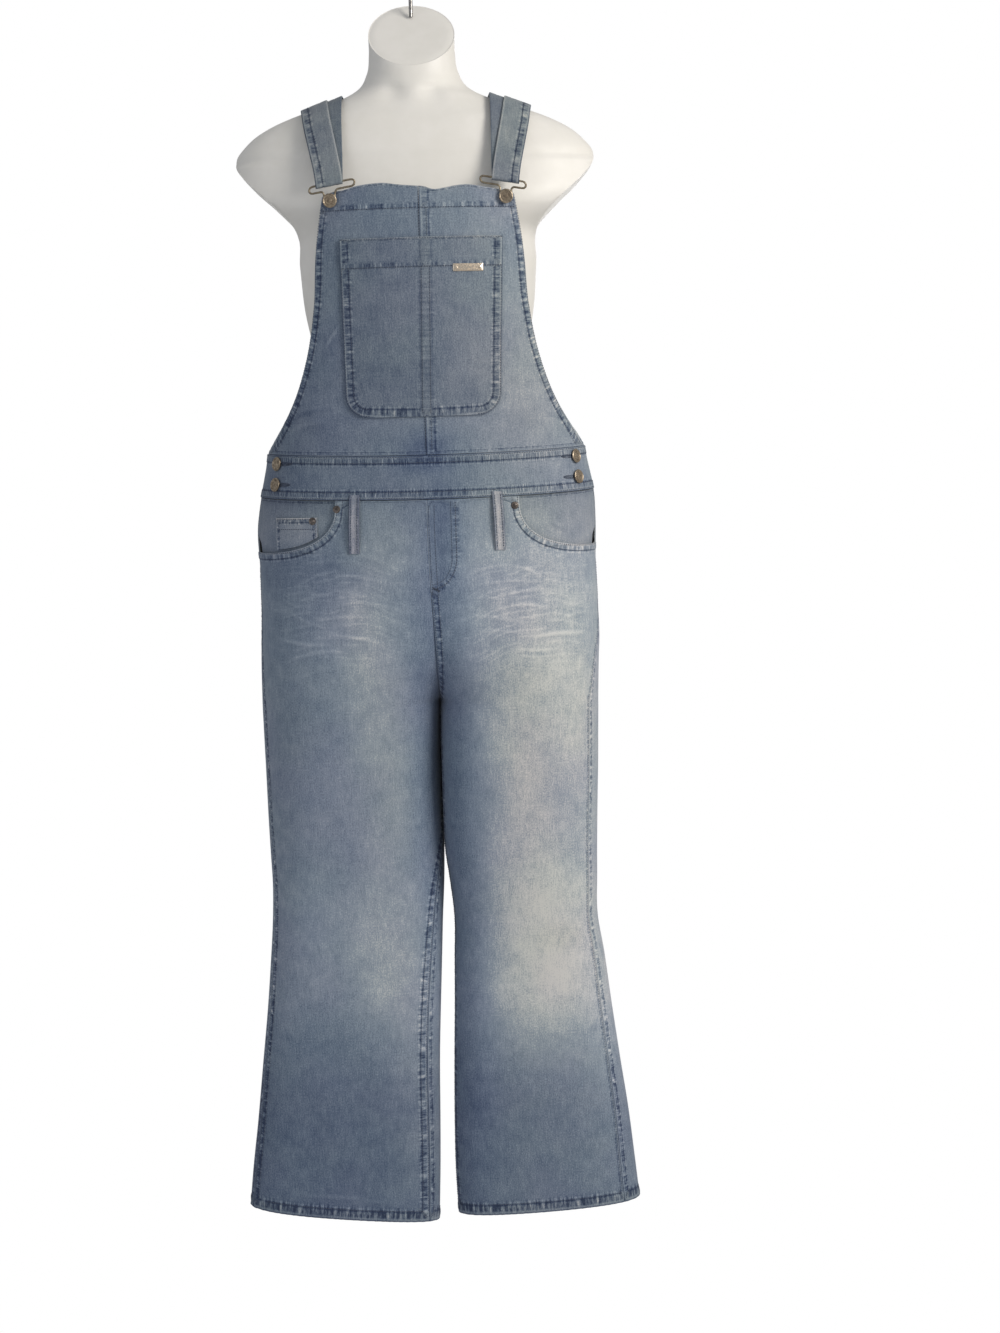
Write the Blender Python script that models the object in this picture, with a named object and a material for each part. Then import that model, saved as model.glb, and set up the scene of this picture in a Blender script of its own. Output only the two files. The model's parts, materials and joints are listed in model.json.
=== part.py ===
"""Denim dungarees worn by a limbless torso form that hangs from a hook.

Lengths are in millimetres here and become metres when a mesh is made.
+Z is up, the front faces -Y, +X is the viewer's right, and the origin is
the point where the hook bears on whatever it hangs from.

Every cloth panel is a piece of one garment surface.  At a height z each side
of the garment is an oval ring.  Above the crotch the oval runs past the
middle and is cut there, so front and back are open half rings that meet
their mirror pieces at the centre seams.  Below it the oval closes into a leg.
A point has a side (-1 left, +1 right), a height z and a turn t, which goes
from 0 at the centre front or inseam, by 0.5 at the side seam, to 1 at the
centre back or inseam.
"""
import bpy
import bmesh
import math
import numpy as np

MM = 0.001

# ---------------------------------------------------------------- sizes (mm)
CLOTH = 1.2            # one ply of denim
HEM_PLY = 2.4          # cloth where it is turned up and stitched
GAP = 0.3              # clearance between neighbouring pieces
SQUARE = 0.12          # how square the ovals are, 0 for an ellipse

CENTRE_X = 3.3         # the garment hangs this far to the right on the form
BAND_TOP = -656.0      # upper waist seam at the sides
BAND_LOW = -709.0      # lower waist seam at the sides
FRONT_DIP = 6.0        # how much lower both seams run at the centre front

HEM_FADE = -1424.0     # from here down the rows lean towards the hem's slope
HEM_LEVEL = -1618.0
HEM_HIGH = 12.0        # depth of the turned up hem
HEM_ENDS = {-1: (-1606.0, -1633.0), 1: (-1611.0, -1625.0)}   # outer, inner

SCOOP_TOP_X = 110.0    # where the pocket mouth leaves the waist seam
SCOOP_DEEP = 66.0      # from the waist seam down to its lowest point
SCOOP_POWER = 2.6      # 2 is an ellipse, more is squarer
FACING_IN = 2.7        # the cloth in the pocket mouth lies this far in
COIN_OUT = CLOTH + 0.6 - FACING_IN     # outer face of the coin pocket on it

POCKET_TOP = -406.5
POCKET_LOW = -616.0
POCKET_CORNER = 27.0
POCKET_OUT = 1.8       # the pocket's outer face stands this far off the bib
STRAP_WIDE = 32.0
STRAP_PLY = 2.0
WIRE = 2.4             # buckle wire
BUTTON_R = 8.5
RIVET_R = 4.6

# Garment rings: left and right outer edge, inner edge of each side's oval,
# the centre line, and how deep the ring is in front and behind.
RINGS = np.array([
    # z       mid   left_out right_out left_in right_in front  back
    [-345.0,   4.0, -172.0,  180.0,  180.0, -172.0,  113.0,   88.0],
    [-440.0,   3.5, -177.0,  184.0,  184.0, -177.0,  122.0,   93.0],
    [-540.0,   3.0, -184.0,  190.0,  190.0, -184.0,  117.0,   96.0],
    [-600.0,   3.0, -188.0,  194.0,  194.0, -188.0,  111.0,   97.0],
    [-660.0,   3.0, -193.0,  199.0,  199.0, -193.0,  106.0,   98.0],
    [-715.0,   3.0, -204.0,  209.0,  207.0, -202.0,  107.0,  103.0],
    [-745.0,   2.5, -208.5,  210.0,  203.0, -198.0,  108.0,  107.0],
    [-800.0,   3.5, -207.5,  209.0,  175.0, -168.0,  108.0,  113.0],
    [-850.0,   5.5, -207.5,  210.5,  125.0, -114.0,  107.0,  117.0],
    [-890.0,   7.5, -209.5,  211.5,   74.0,  -59.0,  105.0,  118.0],
    [-920.0,   9.0, -210.5,  210.0,   42.0,  -24.0,  102.0,  117.0],
    [-945.0,  10.0, -210.8,  209.0,   21.0,   -1.0,   98.0,  114.0],
    [-957.0,  10.3, -210.9,  208.6,   14.0,    6.9,   96.2,  111.6],
    [-965.0,  10.5, -211.0,  208.3,   10.1,   11.0,   95.0,  110.0],
    [-970.0,  10.5, -211.0,  208.2,   10.1,   11.0,   94.3,  109.0],
    [-985.0,  10.5, -210.8,  207.9,   10.2,   11.0,   92.0,  106.0],
    [-1015.0, 10.5, -210.4,  207.1,   10.7,   10.2,   87.7,  100.6],
    [-1041.0, 10.5, -210.0,  206.5,   10.8,   10.1,   84.0,   96.0],
    [-1117.0, 10.5, -209.0,  203.7,   10.7,   10.3,   73.0,   82.0],
    [-1155.0, 11.0, -208.0,  202.5,   10.2,   11.5,   68.0,   75.0],
    [-1193.0, 12.0, -207.0,  201.7,    9.0,   16.0,   63.0,   68.0],
    [-1243.0, 13.0, -209.0,  201.0,    5.7,   20.5,   57.0,   60.0],
    [-1295.0, 12.0, -213.5,  208.5,    3.0,   19.2,   52.0,   54.0],
    [-1350.0, 11.0, -219.0,  215.0,    0.0,   17.7,   48.0,   49.0],
    [-1424.0,  9.0, -228.0,  224.5,   -3.5,   15.0,   44.0,   44.0],
    [-1502.0,  7.0, -237.5,  235.0,   -5.3,   13.0,   41.0,   40.0],
    [-1560.0,  6.0, -245.5,  241.0,   -7.0,   12.5,   39.0,   37.0],
    [-1640.0,  4.0, -254.0,  249.0,  -10.5,   15.0,   37.0,   34.0],
])

# The turns at which the leg seams run: the outseams come round to the front
# below the hips, and the left inseam does so below the knee.
# The thighs lap: the right one's inner edge comes this far forward and the
# left one's goes as far back, so that no gap shows between them.
LAP = np.array([
    # z     lap
    [-960.0,   0.0],
    [-970.0,   1.5],
    [-985.0,   6.0],
    [-1012.0, 13.0],
    [-1117.0, 13.0],
    [-1160.0,  9.0],
    [-1230.0,  0.0],
])

LEG_SEAMS = np.array([
    # z       out_left out_right in_left in_right
    [-800.0,   0.500,   0.500,   0.000,  0.0],
    [-858.0,   0.468,   0.458,   0.000,  0.0],
    [-910.0,   0.446,   0.410,   0.000,  0.0],
    [-985.0,   0.445,   0.402,   0.000,  0.0],
    [-1117.0,  0.445,   0.402,   0.012,  0.0],
    [-1193.0,  0.446,   0.405,   0.070,  0.0],
    [-1260.0,  0.446,   0.404,   0.085,  0.0],
    [-1640.0,  0.446,   0.392,   0.082,  0.0],
])

# Half widths of the two bibs, measured from CENTRE_X.
FRONT_BIB = np.array([
    # z      half
    [-346.0, 112.5],
    [-361.0, 115.5],
    [-405.0, 122.5],
    [-477.0, 127.7],
    [-548.0, 141.0],
    [-596.0, 158.0],
    [-620.0, 170.0],
    [-644.0, 184.5],
    [-660.0, 194.5],
])
BACK_BIB = np.array([
    # z      half
    [-430.0,  84.0],
    [-470.0,  90.0],
    [-520.0, 101.0],
    [-570.0, 119.0],
    [-610.0, 141.0],
    [-640.0, 166.0],
    [-656.0, 186.0],
])

# Torso form: half width, front and back depth, and how far the ring leans
# (the neck is cut off on a slope).
FORM = np.array([
    # z      half   front  back  lean
    [-862.0, 164.0,  84.0,  92.0, 0.0],
    [-850.0, 168.0,  88.0,  96.0, 0.0],
    [-790.0, 171.0,  92.0, 103.0, 0.0],
    [-720.0, 156.0,  86.0,  96.0, 0.0],
    [-650.0, 131.0,  80.0,  82.0, 0.0],
    [-600.0, 124.0,  81.0,  76.0, 0.0],
    [-540.0, 130.0,  91.0,  78.0, 0.0],
    [-480.0, 141.0, 103.0,  84.0, 0.0],
    [-430.0, 145.0, 107.0,  88.0, 0.0],
    [-384.0, 149.0, 102.0,  86.0, 0.0],
    [-357.0, 173.0,  95.0,  84.0, 0.0],
    [-332.0, 200.0,  86.0,  82.0, 0.0],
    [-312.0, 216.0,  80.0,  79.0, 0.0],
    [-297.0, 217.0,  77.0,  76.0, 0.0],
    [-285.0, 208.0,  73.0,  72.0, 0.0],
    [-269.0, 189.0,  66.0,  66.0, 0.0],
    [-257.0, 166.0,  61.0,  61.0, 0.0],
    [-246.5, 138.0,  56.0,  57.0, 0.0],
    [-238.5, 113.0,  53.0,  55.0, 0.0],
    [-230.0,  89.0,  51.0,  53.0, 0.0],
    [-219.0,  69.0,  49.0,  51.0, 0.1],
    [-200.0,  56.0,  47.0,  48.0, 0.3],
    [-178.0,  52.5,  45.0,  45.0, 0.6],
    [-153.0,  52.5,  43.0,  42.0, 1.0],
])

# Middle line of a strap's under ply over the shoulder, from the buckle to
# the back bib.  drop says how much of the shoulder's sideways slope it takes.
STRAP = np.array([
    # y       z      under_x  upper_x  drop
    [-102.4, -342.7,  104.0,   104.0,   0.0],
    [-91.5, -322.0,  104.0,   107.0,   0.3],
    [-76.0, -291.0,  104.5,   113.0,   0.8],
    [-58.5, -262.5,  105.0,   118.5,   1.0],
    [-44.0, -247.5,  105.0,   121.0,   1.0],
    [-26.0, -237.4,  105.0,   123.0,   1.0],
    [0.0,   -233.9,  105.0,   123.5,   1.0],
    [26.0,  -237.4,  103.0,   121.5,   1.0],
    [46.0,  -248.5,  100.0,   117.0,   1.0],
    [61.0,  -265.0,   96.0,   110.0,   0.8],
    [76.0,  -292.0,   90.0,   101.0,   0.5],
    [88.0,  -330.0,   82.0,    90.0,   0.2],
    [95.0,  -380.0,   71.0,    78.0,   0.0],
    [96.5,  -462.0,   58.0,    62.0,   0.0],
])
SHOULDER_X = 108.0     # the strap table's heights hold here
SHOULDER_SLOPE = 0.38  # and fall this much for each millimetre outwards
BUCKLE_TILT = 0.17     # the buckle's inner end is raised
UPPER_PLY_ENDS = 0.80  # the upper ply is sewn down this far along the strap


# -------------------------------------------------------------- small maths
def smooth(value, knots, values):
    """Cubic through (knots, values) whose slope at each knot is the mean
    of the two slopes beside it; knots may run either way."""
    order = np.argsort(knots)
    x, y = np.asarray(knots)[order], np.asarray(values)[order]
    step = np.diff(x)
    rise = np.diff(y) / step
    slope = np.empty_like(y)
    slope[1:-1] = (rise[:-1] * step[1:] + rise[1:] * step[:-1]) / (step[1:] + step[:-1])
    slope[0], slope[-1] = rise[0], rise[-1]
    value = np.clip(np.asarray(value, float), x[0], x[-1])
    i = np.clip(np.searchsorted(x, value) - 1, 0, len(x) - 2)
    h = step[i]
    u = (value - x[i]) / h
    return ((1 + 2 * u) * (1 - u) ** 2 * y[i] + u * (1 - u) ** 2 * h * slope[i]
            + u * u * (3 - 2 * u) * y[i + 1] - u * u * (1 - u) * h * slope[i + 1])


def oval_angle(across):
    """Angle whose squared-off cosine is `across` (-1 to 1)."""
    across = np.clip(across, -1.0, 1.0)
    angle = np.arccos(across)
    for _ in range(6):
        c, s = np.cos(angle), np.sin(angle)
        miss = c * (1 + SQUARE * s * s) - across
        fall = -s * (1 + SQUARE * s * s - 2 * SQUARE * c * c)
        angle = np.where(np.abs(s) > 1e-4, angle - miss / np.minimum(fall, -1e-4), angle)
    return angle


def ring_columns(side, z):
    """Centre, half width, depths and middle of one side's oval at height z."""
    col = [smooth(z, RINGS[:, 0], RINGS[:, k]) for k in range(1, 8)]
    mid, left_out, right_out, left_in, right_in, front, back = col
    outer = np.where(side > 0, right_out, left_out)
    inner = np.where(side > 0, right_in, left_in)
    return (outer + inner) / 2, np.abs(outer - inner) / 2, front, back, mid


def garment(side, t, z):
    """Points of the garment surface, shape (..., 3)."""
    side, t, z = np.broadcast_arrays(np.asarray(side, float), t, z)
    centre, half, front, back, mid = ring_columns(side, z)
    cut = oval_angle(side * (mid - centre) / half)
    angle = cut * (1 - 2 * t)
    c, s = np.cos(angle), np.sin(angle)
    x = centre + side * half * c * (1 + SQUARE * s * s)
    y = -np.where(s >= 0, front, back) * s * (1 + SQUARE * c * c)
    y = y - side * smooth(z, LAP[:, 0], LAP[:, 1]) * ((1 - c) / 2) ** 3
    return np.stack([x, y, z], axis=-1)


def garment_normal(side, t, z, dt=1e-3, dz=1.5):
    """Outward unit normals of the garment surface, from nearby points."""
    side, t, z = np.broadcast_arrays(np.asarray(side, float), t, z)
    along = garment(side, t + dt, z) - garment(side, t - dt, z)
    up = garment(side, t, z + dz) - garment(side, t, z - dz)
    normal = np.cross(along, up) * side[..., None]
    return normal / np.linalg.norm(normal, axis=-1, keepdims=True)


def turn_at(side, x, z):
    """The turn t of the front point that has this x."""
    centre, half, _, _, mid = ring_columns(side, z)
    cut = oval_angle(side * (mid - centre) / half)
    return (1 - oval_angle(side * (x - centre) / half) / cut) / 2


def inset(side, t, z, distance):
    """The turn that lies `distance` mm round from t."""
    speed = np.linalg.norm(garment(side, t + 1e-3, z) - garment(side, t - 1e-3, z), axis=-1) / 2e-3
    return t + distance / speed


def dip(t):
    """How far the front waist seams run below their ends."""
    return FRONT_DIP * np.cos(np.pi * np.minimum(t, 0.5)) ** 2


# ------------------------------------------------------------ mesh builders
def material(name, colour, roughness, metallic=0.0):
    made = bpy.data.materials.new(name)
    made.use_nodes = True
    shader = made.node_tree.nodes["Principled BSDF"]
    shader.inputs["Base Color"].default_value = (*colour, 1.0)
    shader.inputs["Roughness"].default_value = roughness
    shader.inputs["Metallic"].default_value = metallic
    made.diffuse_color = (*colour, 1.0)
    return made


def add_object(name, points, faces, look):
    """Make a closed mesh object, faces turned outward, shaded smooth."""
    mesh = bpy.data.meshes.new(name)
    mesh.from_pydata((np.asarray(points) * MM).tolist(), [], faces)
    work = bmesh.new()
    work.from_mesh(mesh)
    bmesh.ops.recalc_face_normals(work, faces=work.faces)
    if work.calc_volume(signed=True) < 0:
        bmesh.ops.reverse_faces(work, faces=work.faces)
    work.to_mesh(mesh)
    work.free()
    mesh.shade_smooth()
    mesh.set_sharp_from_angle(angle=math.radians(40))
    mesh.materials.append(look)
    made = bpy.data.objects.new(name, mesh)
    bpy.context.scene.collection.objects.link(made)
    return made


def slab(name, top, bottom, look, around=False):
    """Closed solid between two grids of points (rows, columns, 3).
    With around=True the columns close on themselves."""
    rows, cols = top.shape[:2]
    points = np.concatenate([top.reshape(-1, 3), bottom.reshape(-1, 3)])
    low = rows * cols
    wrap = cols if around else cols - 1
    faces = []
    for i in range(rows - 1):
        for j in range(wrap):
            a, b = i * cols + j, i * cols + (j + 1) % cols
            c, d = b + cols, a + cols
            # both walls are split along the same, shorter diagonal, or a
            # twisted pair of facets would cross
            if np.sum((points[a] - points[c]) ** 2) > np.sum((points[b] - points[d]) ** 2):
                a, b, c, d = b, c, d, a
            for corners in ((a, b, c), (a, c, d)):
                faces.append(corners)
                faces.append(tuple(low + k for k in corners[::-1]))
    ends = [(0, False), ((rows - 1) * cols, True)]
    for start, turned in ends:
        for j in range(wrap):
            a, b = start + j, start + (j + 1) % cols
            wall = (a, low + a, low + b, b)
            faces.append(wall[::-1] if turned else wall)
    if not around:
        for j, turned in [(0, True), (cols - 1, False)]:
            for i in range(rows - 1):
                a, b = i * cols + j, (i + 1) * cols + j
                wall = (a, low + a, low + b, b)
                faces.append(wall[::-1] if turned else wall)
    return add_object(name, points, faces, look)


def panel(name, side, t, z, look, outside=0.0, ply=CLOTH):
    """A cloth piece on the garment surface; `outside` is how far its outer
    face stands off that surface, and `ply` its thickness."""
    points, normal = garment(side, t, z), garment_normal(side, t, z)
    ply = np.asarray(ply, float)[..., None] if np.ndim(ply) else ply
    return slab(name, points + normal * outside, points + normal * (outside - ply), look)


def front_patch(name, x, z, look, outside, ply=CLOTH):
    """A piece on the front, given by x and z, where both sides share an oval."""
    side = np.where(x >= RINGS[0, 1], 1.0, -1.0)
    return panel(name, side, turn_at(side, x, z), z, look, outside, ply)


def tube(name, path, radius, look, sides=8, closed=False):
    """A round wire along a list of points."""
    path = np.asarray(path, float)
    ahead = np.roll(path, -1, axis=0) if closed else np.vstack([path[1:], path[-1:]])
    behind = np.roll(path, 1, axis=0) if closed else np.vstack([path[:1], path[:-1]])
    tangent = ahead - behind
    tangent /= np.linalg.norm(tangent, axis=1, keepdims=True)
    guide = np.linalg.svd(path - path.mean(axis=0))[2][2]
    first = np.cross(tangent, guide)
    first /= np.linalg.norm(first, axis=1, keepdims=True)
    second = np.cross(tangent, first)
    turn = np.arange(sides) * 2 * np.pi / sides
    ring = (path[:, None] + radius * (np.cos(turn)[None, :, None] * first[:, None]
                                      + np.sin(turn)[None, :, None] * second[:, None]))
    count = len(path)
    faces = []
    for i in range(count if closed else count - 1):
        for j in range(sides):
            a, b = i * sides + j, i * sides + (j + 1) % sides
            c, d = (a + sides) % (count * sides), (b + sides) % (count * sides)
            faces.append((a, b, d, c))
    if not closed:
        faces.append(tuple(range(sides))[::-1])
        faces.append(tuple(range((count - 1) * sides, count * sides)))
    return add_object(name, ring.reshape(-1, 3), faces, look)


def turned(name, base, axis, profile, look, sides=16):
    """A round piece: (height, radius) pairs turned about `axis` from `base`."""
    axis = np.asarray(axis, float) / np.linalg.norm(axis)
    first = np.cross(axis, [0.0, 0.0, 1.0])
    first /= np.linalg.norm(first)
    second = np.cross(axis, first)
    turn = np.arange(sides) * 2 * np.pi / sides
    spoke = np.cos(turn)[:, None] * first + np.sin(turn)[:, None] * second
    points = np.concatenate([base + axis * h + spoke * r for h, r in profile])
    faces = [tuple(range(sides))[::-1]]
    for i in range(len(profile) - 1):
        for j in range(sides):
            a, b = i * sides + j, i * sides + (j + 1) % sides
            faces.append((a, b, b + sides, a + sides))
    last = (len(profile) - 1) * sides
    faces.append(tuple(range(last, last + sides)))
    return add_object(name, points, faces, look)


# ------------------------------------------------------- form and its hook
def build_form(look):
    """The torso form: rings of the FORM table, closed flat at both ends."""
    sides = 36
    fine = np.concatenate([np.linspace(a, b, 3)[:-1] for a, b in zip(FORM[:6, 0], FORM[1:7, 0])]
                          + [FORM[6:, 0]])
    half, front, back, lean = (smooth(fine, FORM[:, 0], FORM[:, k]) for k in range(1, 5))
    turn = np.arange(sides) * 2 * np.pi / sides
    x = half[:, None] * np.cos(turn)
    y = -np.where(np.sin(turn) >= 0, front[:, None], back[:, None]) * np.sin(turn)
    z = fine[:, None] + lean[:, None] * y
    points = np.stack([x, y, z], axis=-1)
    rows = len(fine)
    faces = [tuple(range(sides))]
    for i in range(rows - 1):
        for j in range(sides):
            a, b = i * sides + j, i * sides + (j + 1) % sides
            faces.append((a, b, b + sides, a + sides))
    faces.append(tuple(range((rows - 1) * sides, rows * sides)))
    return add_object("form_torso", points.reshape(-1, 3), faces, look)


def build_hook(look):
    """A wire crook that stands on the sloping neck and bears at the origin."""
    wire, crook = 5.0, 22.0
    neck_z = FORM[-1, 0] + crook
    foot = neck_z + GAP + wire / 2
    stem = [(0.0, crook, z) for z in np.linspace(foot, wire / 2 - crook, 4)[:-1]]
    top = wire / 2 - crook
    bend = [(0.0, crook * math.cos(a), top + crook * math.sin(a))
            for a in np.linspace(0.0, math.radians(205), 14)]
    return tube("form_hook", stem + bend, wire / 2, look, sides=10)


# ------------------------------------------------------------ bib and bands
def build_bibs(look):
    """Left and right front bib, then the back bib, one panel each."""
    level = np.array([-660.0, -644.0, -630.0, -612.0, -590.0, -560.0, -525.0,
                      -480.0, -435.0, -395.0, -368.0, -352.0])
    share = (level - level[0]) / (level[-1] - level[0])
    half = smooth(level, FRONT_BIB[:, 0], FRONT_BIB[:, 1])
    across = np.linspace(0.0, 1.0, 8)
    for side, word in ((-1, "left"), (1, "right")):
        edge = CENTRE_X + side * half
        start = RINGS[0, 1] + side * GAP / 2
        x = start + (edge[:, None] - start) * across
        from_centre = np.abs(x - CENTRE_X)
        top = -346.0 - 15.0 * (from_centre / 115.0) ** 5
        seam_t = turn_at(side, x, level[:, None] + 0 * x)
        seam = BAND_TOP - dip(seam_t) + GAP
        z = seam + (top - seam) * share[:, None]
        panel(f"bib_{word}", side, turn_at(side, x, z), z, look)

    level = np.array([-656.0, -640.0, -620.0, -595.0, -560.0, -520.0, -475.0, -430.0])
    half = smooth(level, BACK_BIB[:, 0], BACK_BIB[:, 1])
    across = np.linspace(-1.0, 1.0, 15)
    x = CENTRE_X + half[:, None] * across
    side = np.where(across >= 0, 1.0, -1.0)
    z = level[:, None] + GAP + 0 * x
    panel("back_bib", side, 1.0 - turn_at(side, x, z), z, look)


def build_bib_pocket(look, plate_look):
    """Patch pocket with round lower corners, and the plain plate on its hem."""
    bend = np.radians(np.array([0.0, 20.0, 40.0, 60.0, 75.0, 88.0]))
    z = np.concatenate([np.array([POCKET_TOP, -440.0, -480.0, -520.0, -560.0]),
                        POCKET_LOW + POCKET_CORNER * (1 - np.sin(bend))])
    drop = (POCKET_TOP - z) / (POCKET_TOP - POCKET_LOW)
    middle = 5.5 - 3.0 * drop
    half = 96.0 - 4.0 * drop
    half[5:] -= POCKET_CORNER * (1 - np.cos(bend))
    x = middle[:, None] + half[:, None] * np.linspace(-1.0, 1.0, 12)
    front_patch("bib_pocket", x, z[:, None] + 0 * x, look, POCKET_OUT)

    plate_x = np.linspace(42.0, 77.0, 4)
    plate_z = np.array([[-439.0], [-447.5]])
    front_patch("pocket_plate", plate_x + 0 * plate_z, plate_z + 0 * plate_x, plate_look,
                POCKET_OUT + GAP + 1.0, 1.0)


def build_waistband(look):
    """Front and back band, each from side seam to side seam."""
    u = np.linspace(-1.0, 1.0, 21)
    side = np.where(u >= 0, 1.0, -1.0)
    for name, t in (("waistband_front", 0.5 * np.abs(u)), ("waistband_back", 1 - 0.5 * np.abs(u))):
        share = np.array([[0.0], [0.5], [1.0]])
        z = BAND_LOW + GAP + (BAND_TOP - BAND_LOW - GAP) * share - dip(t)
        turn = t + 0 * z
        ends = np.abs(u) == 1.0
        away = GAP / 2 if name == "waistband_back" else -GAP / 2
        turn = np.where(ends, inset(side, turn, z, away), turn)
        panel(name, side, turn, z, look)


# --------------------------------------------------------------------- legs
def lean_to_hem(side, t, z):
    """Rows below HEM_FADE lean until the last one follows the hem's slope."""
    outer, inner = HEM_ENDS[side]
    weight = np.clip((z - HEM_FADE) / (HEM_LEVEL - HEM_FADE), 0.0, 1.0)
    level = outer + (inner - outer) * (0.5 + 0.5 * np.cos(2 * np.pi * t))
    return z + weight * (level - HEM_LEVEL)


def seam_turns(side, z):
    """Turns of a leg's outseam and inseam at height z."""
    columns = (1, 3) if side < 0 else (2, 4)
    return [smooth(z, LEG_SEAMS[:, 0], LEG_SEAMS[:, k]) for k in columns]


def scoop_across(step):
    """How far out the pocket mouth is, 0 to 1, when it is `step` of its way down."""
    return 1 - (1 - step ** SCOOP_POWER) ** (1 / SCOOP_POWER)


def leg_rows(start):
    """Heights of the rows of a leg panel below `start`."""
    rows = np.array([-800.0, -835.0, -865.0, -890.0, -910.0, -928.0, -943.0, -956.0, -965.0,
                     -972.0, -985.0, -1012.0, -1041.0, -1117.0, -1155.0, -1193.0, -1225.0,
                     -1260.0, -1300.0, -1350.0, -1424.0, -1502.0, -1560.0,
                     HEM_LEVEL + HEM_HIGH + 1.0, HEM_LEVEL + HEM_HIGH, HEM_LEVEL])
    return rows[rows < start]


def build_legs(look):
    """Front and back panel of each leg, the front one cut away at the pocket."""
    across = np.linspace(0.0, 1.0, 9)
    out = np.array([0.0, 0.02, 0.06, 0.13, 0.23, 0.35, 0.48, 0.61, 0.73, 0.83, 0.92, 1.0])
    step = (1 - (1 - out) ** SCOOP_POWER) ** (1 / SCOOP_POWER)
    for side, word in ((-1, "left"), (1, "right")):
        top = BAND_LOW - GAP
        mouth_z = top - SCOOP_DEEP * step - 0.05 * np.arange(len(step))
        z = np.concatenate([mouth_z, leg_rows(mouth_z[-1] - 1)])
        seam_x = garment(side, 0.5, mouth_z)[:, 0]
        start_x = CENTRE_X + side * SCOOP_TOP_X
        mouth_x = start_x + (seam_x - start_x) * out
        outseam, inseam = seam_turns(side, z)
        edge = outseam.copy()
        edge[:len(step) - 1] = turn_at(side, mouth_x, mouth_z)[:-1]
        first = inset(side, inseam, z, GAP / 2)
        last = inset(side, edge, z, -GAP / 2)
        t = first[:, None] + (last - first)[:, None] * across
        fade = np.clip((z - mouth_z[-1]) / (top - mouth_z[-1]), 0.0, 1.0)
        rows = lean_to_hem(side, t, z[:, None]) - dip(t) * fade[:, None]
        ply = np.where(z < HEM_LEVEL + HEM_HIGH + 0.5, HEM_PLY, CLOTH)[:, None] + 0 * t
        panel(f"front_leg_{word}", side, t, rows, look, ply=ply)

        z = np.concatenate([[top, -727.0, -751.0, -776.0], leg_rows(-790.0)])
        outseam, inseam = seam_turns(side, z)
        first = inset(side, outseam, z, GAP / 2)
        last = inset(side, 1 + inseam, z, -GAP / 2)
        t = first[:, None] + (last - first)[:, None] * across
        ply = np.where(z < HEM_LEVEL + HEM_HIGH + 0.5, HEM_PLY, CLOTH)[:, None] + 0 * t
        panel(f"back_leg_{word}", side, t, lean_to_hem(side, t, z[:, None]), look, ply=ply)


def mouth_x_at(side, z):
    """x of the pocket mouth at height z."""
    step = np.clip((BAND_LOW - GAP - z) / SCOOP_DEEP, 0.0, 0.9999)
    start_x = CENTRE_X + side * SCOOP_TOP_X
    return start_x + (garment(side, 0.5, z)[..., 0] - start_x) * scoop_across(step)


def build_front_pockets(look):
    """The cloth that shows in each pocket mouth, and the coin pocket."""
    under = 8.0
    for side, word in ((-1, "left"), (1, "right")):
        share = np.linspace(0.0, 1.0, 6)
        z = BAND_LOW - GAP - (SCOOP_DEEP + under) * share
        edge_x = mouth_x_at(side, np.maximum(z + under, BAND_LOW - GAP - SCOOP_DEEP)) - side * under
        first = turn_at(side, edge_x, z)
        last = inset(side, np.full(len(z), 0.5), z, -GAP / 2)
        t = first[:, None] + (last - first)[:, None] * np.linspace(0.0, 1.0, 12)
        fade = 1 - share[:, None]
        panel(f"pocket_facing_{word}", side, t, z[:, None] - dip(t) * fade, look,
              outside=-(FACING_IN + 2.5 * share ** 2)[:, None, None])

    x = np.linspace(-182.0, -130.5, 6)
    reach = np.linspace(0.0, SCOOP_DEEP * 0.9999, 400)
    mouth = mouth_x_at(-1, BAND_LOW - GAP - reach)
    low = BAND_LOW - GAP - np.interp(-x, -mouth, reach) + 3.0
    share = np.linspace(0.0, 1.0, 4)[:, None]
    z = -733.0 + (low + 733.0) * share
    x = x + 0 * z
    panel("coin_pocket", -1, turn_at(-1, x, z), z, look, outside=COIN_OUT)


def build_belt_loops(look):
    """Four narrow loops, arched clear of the cloth between their ends."""
    width, high = 12.5, 70.0
    rise = np.linspace(0.0, 1.0, 9)
    arch = GAP + CLOTH + 3.0 * np.sin(np.pi * rise) ** 0.8
    for side, word in ((-1, "left"), (1, "right")):
        for where, along in (("front", 1), ("back", -1)):
            z = BAND_LOW + 1.5 - high * rise
            middle = CENTRE_X / 2 + side * (85.0 + 2.5 * rise)
            x = middle[:, None] + width / 2 * np.array([-1.0, 0.0, 1.0])
            rows = z[:, None] + 0 * x
            t = turn_at(side, x, rows)
            t = t if along > 0 else 1 - t
            panel(f"belt_loop_{where}_{word}", side, t, rows, look,
                  outside=arch[:, None, None], ply=CLOTH)


# ----------------------------------------------------- straps and hardware
def strap_line(step, upper):
    """Strap middle line at 0 (buckle) to 1 (back bib): x, y, z and drop."""
    where = np.linspace(0.0, 1.0, len(STRAP))
    y, z, under_x, upper_x, drop = (smooth(step, where, STRAP[:, k]) for k in range(5))
    return np.where(upper, upper_x, under_x), y, z, drop


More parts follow.
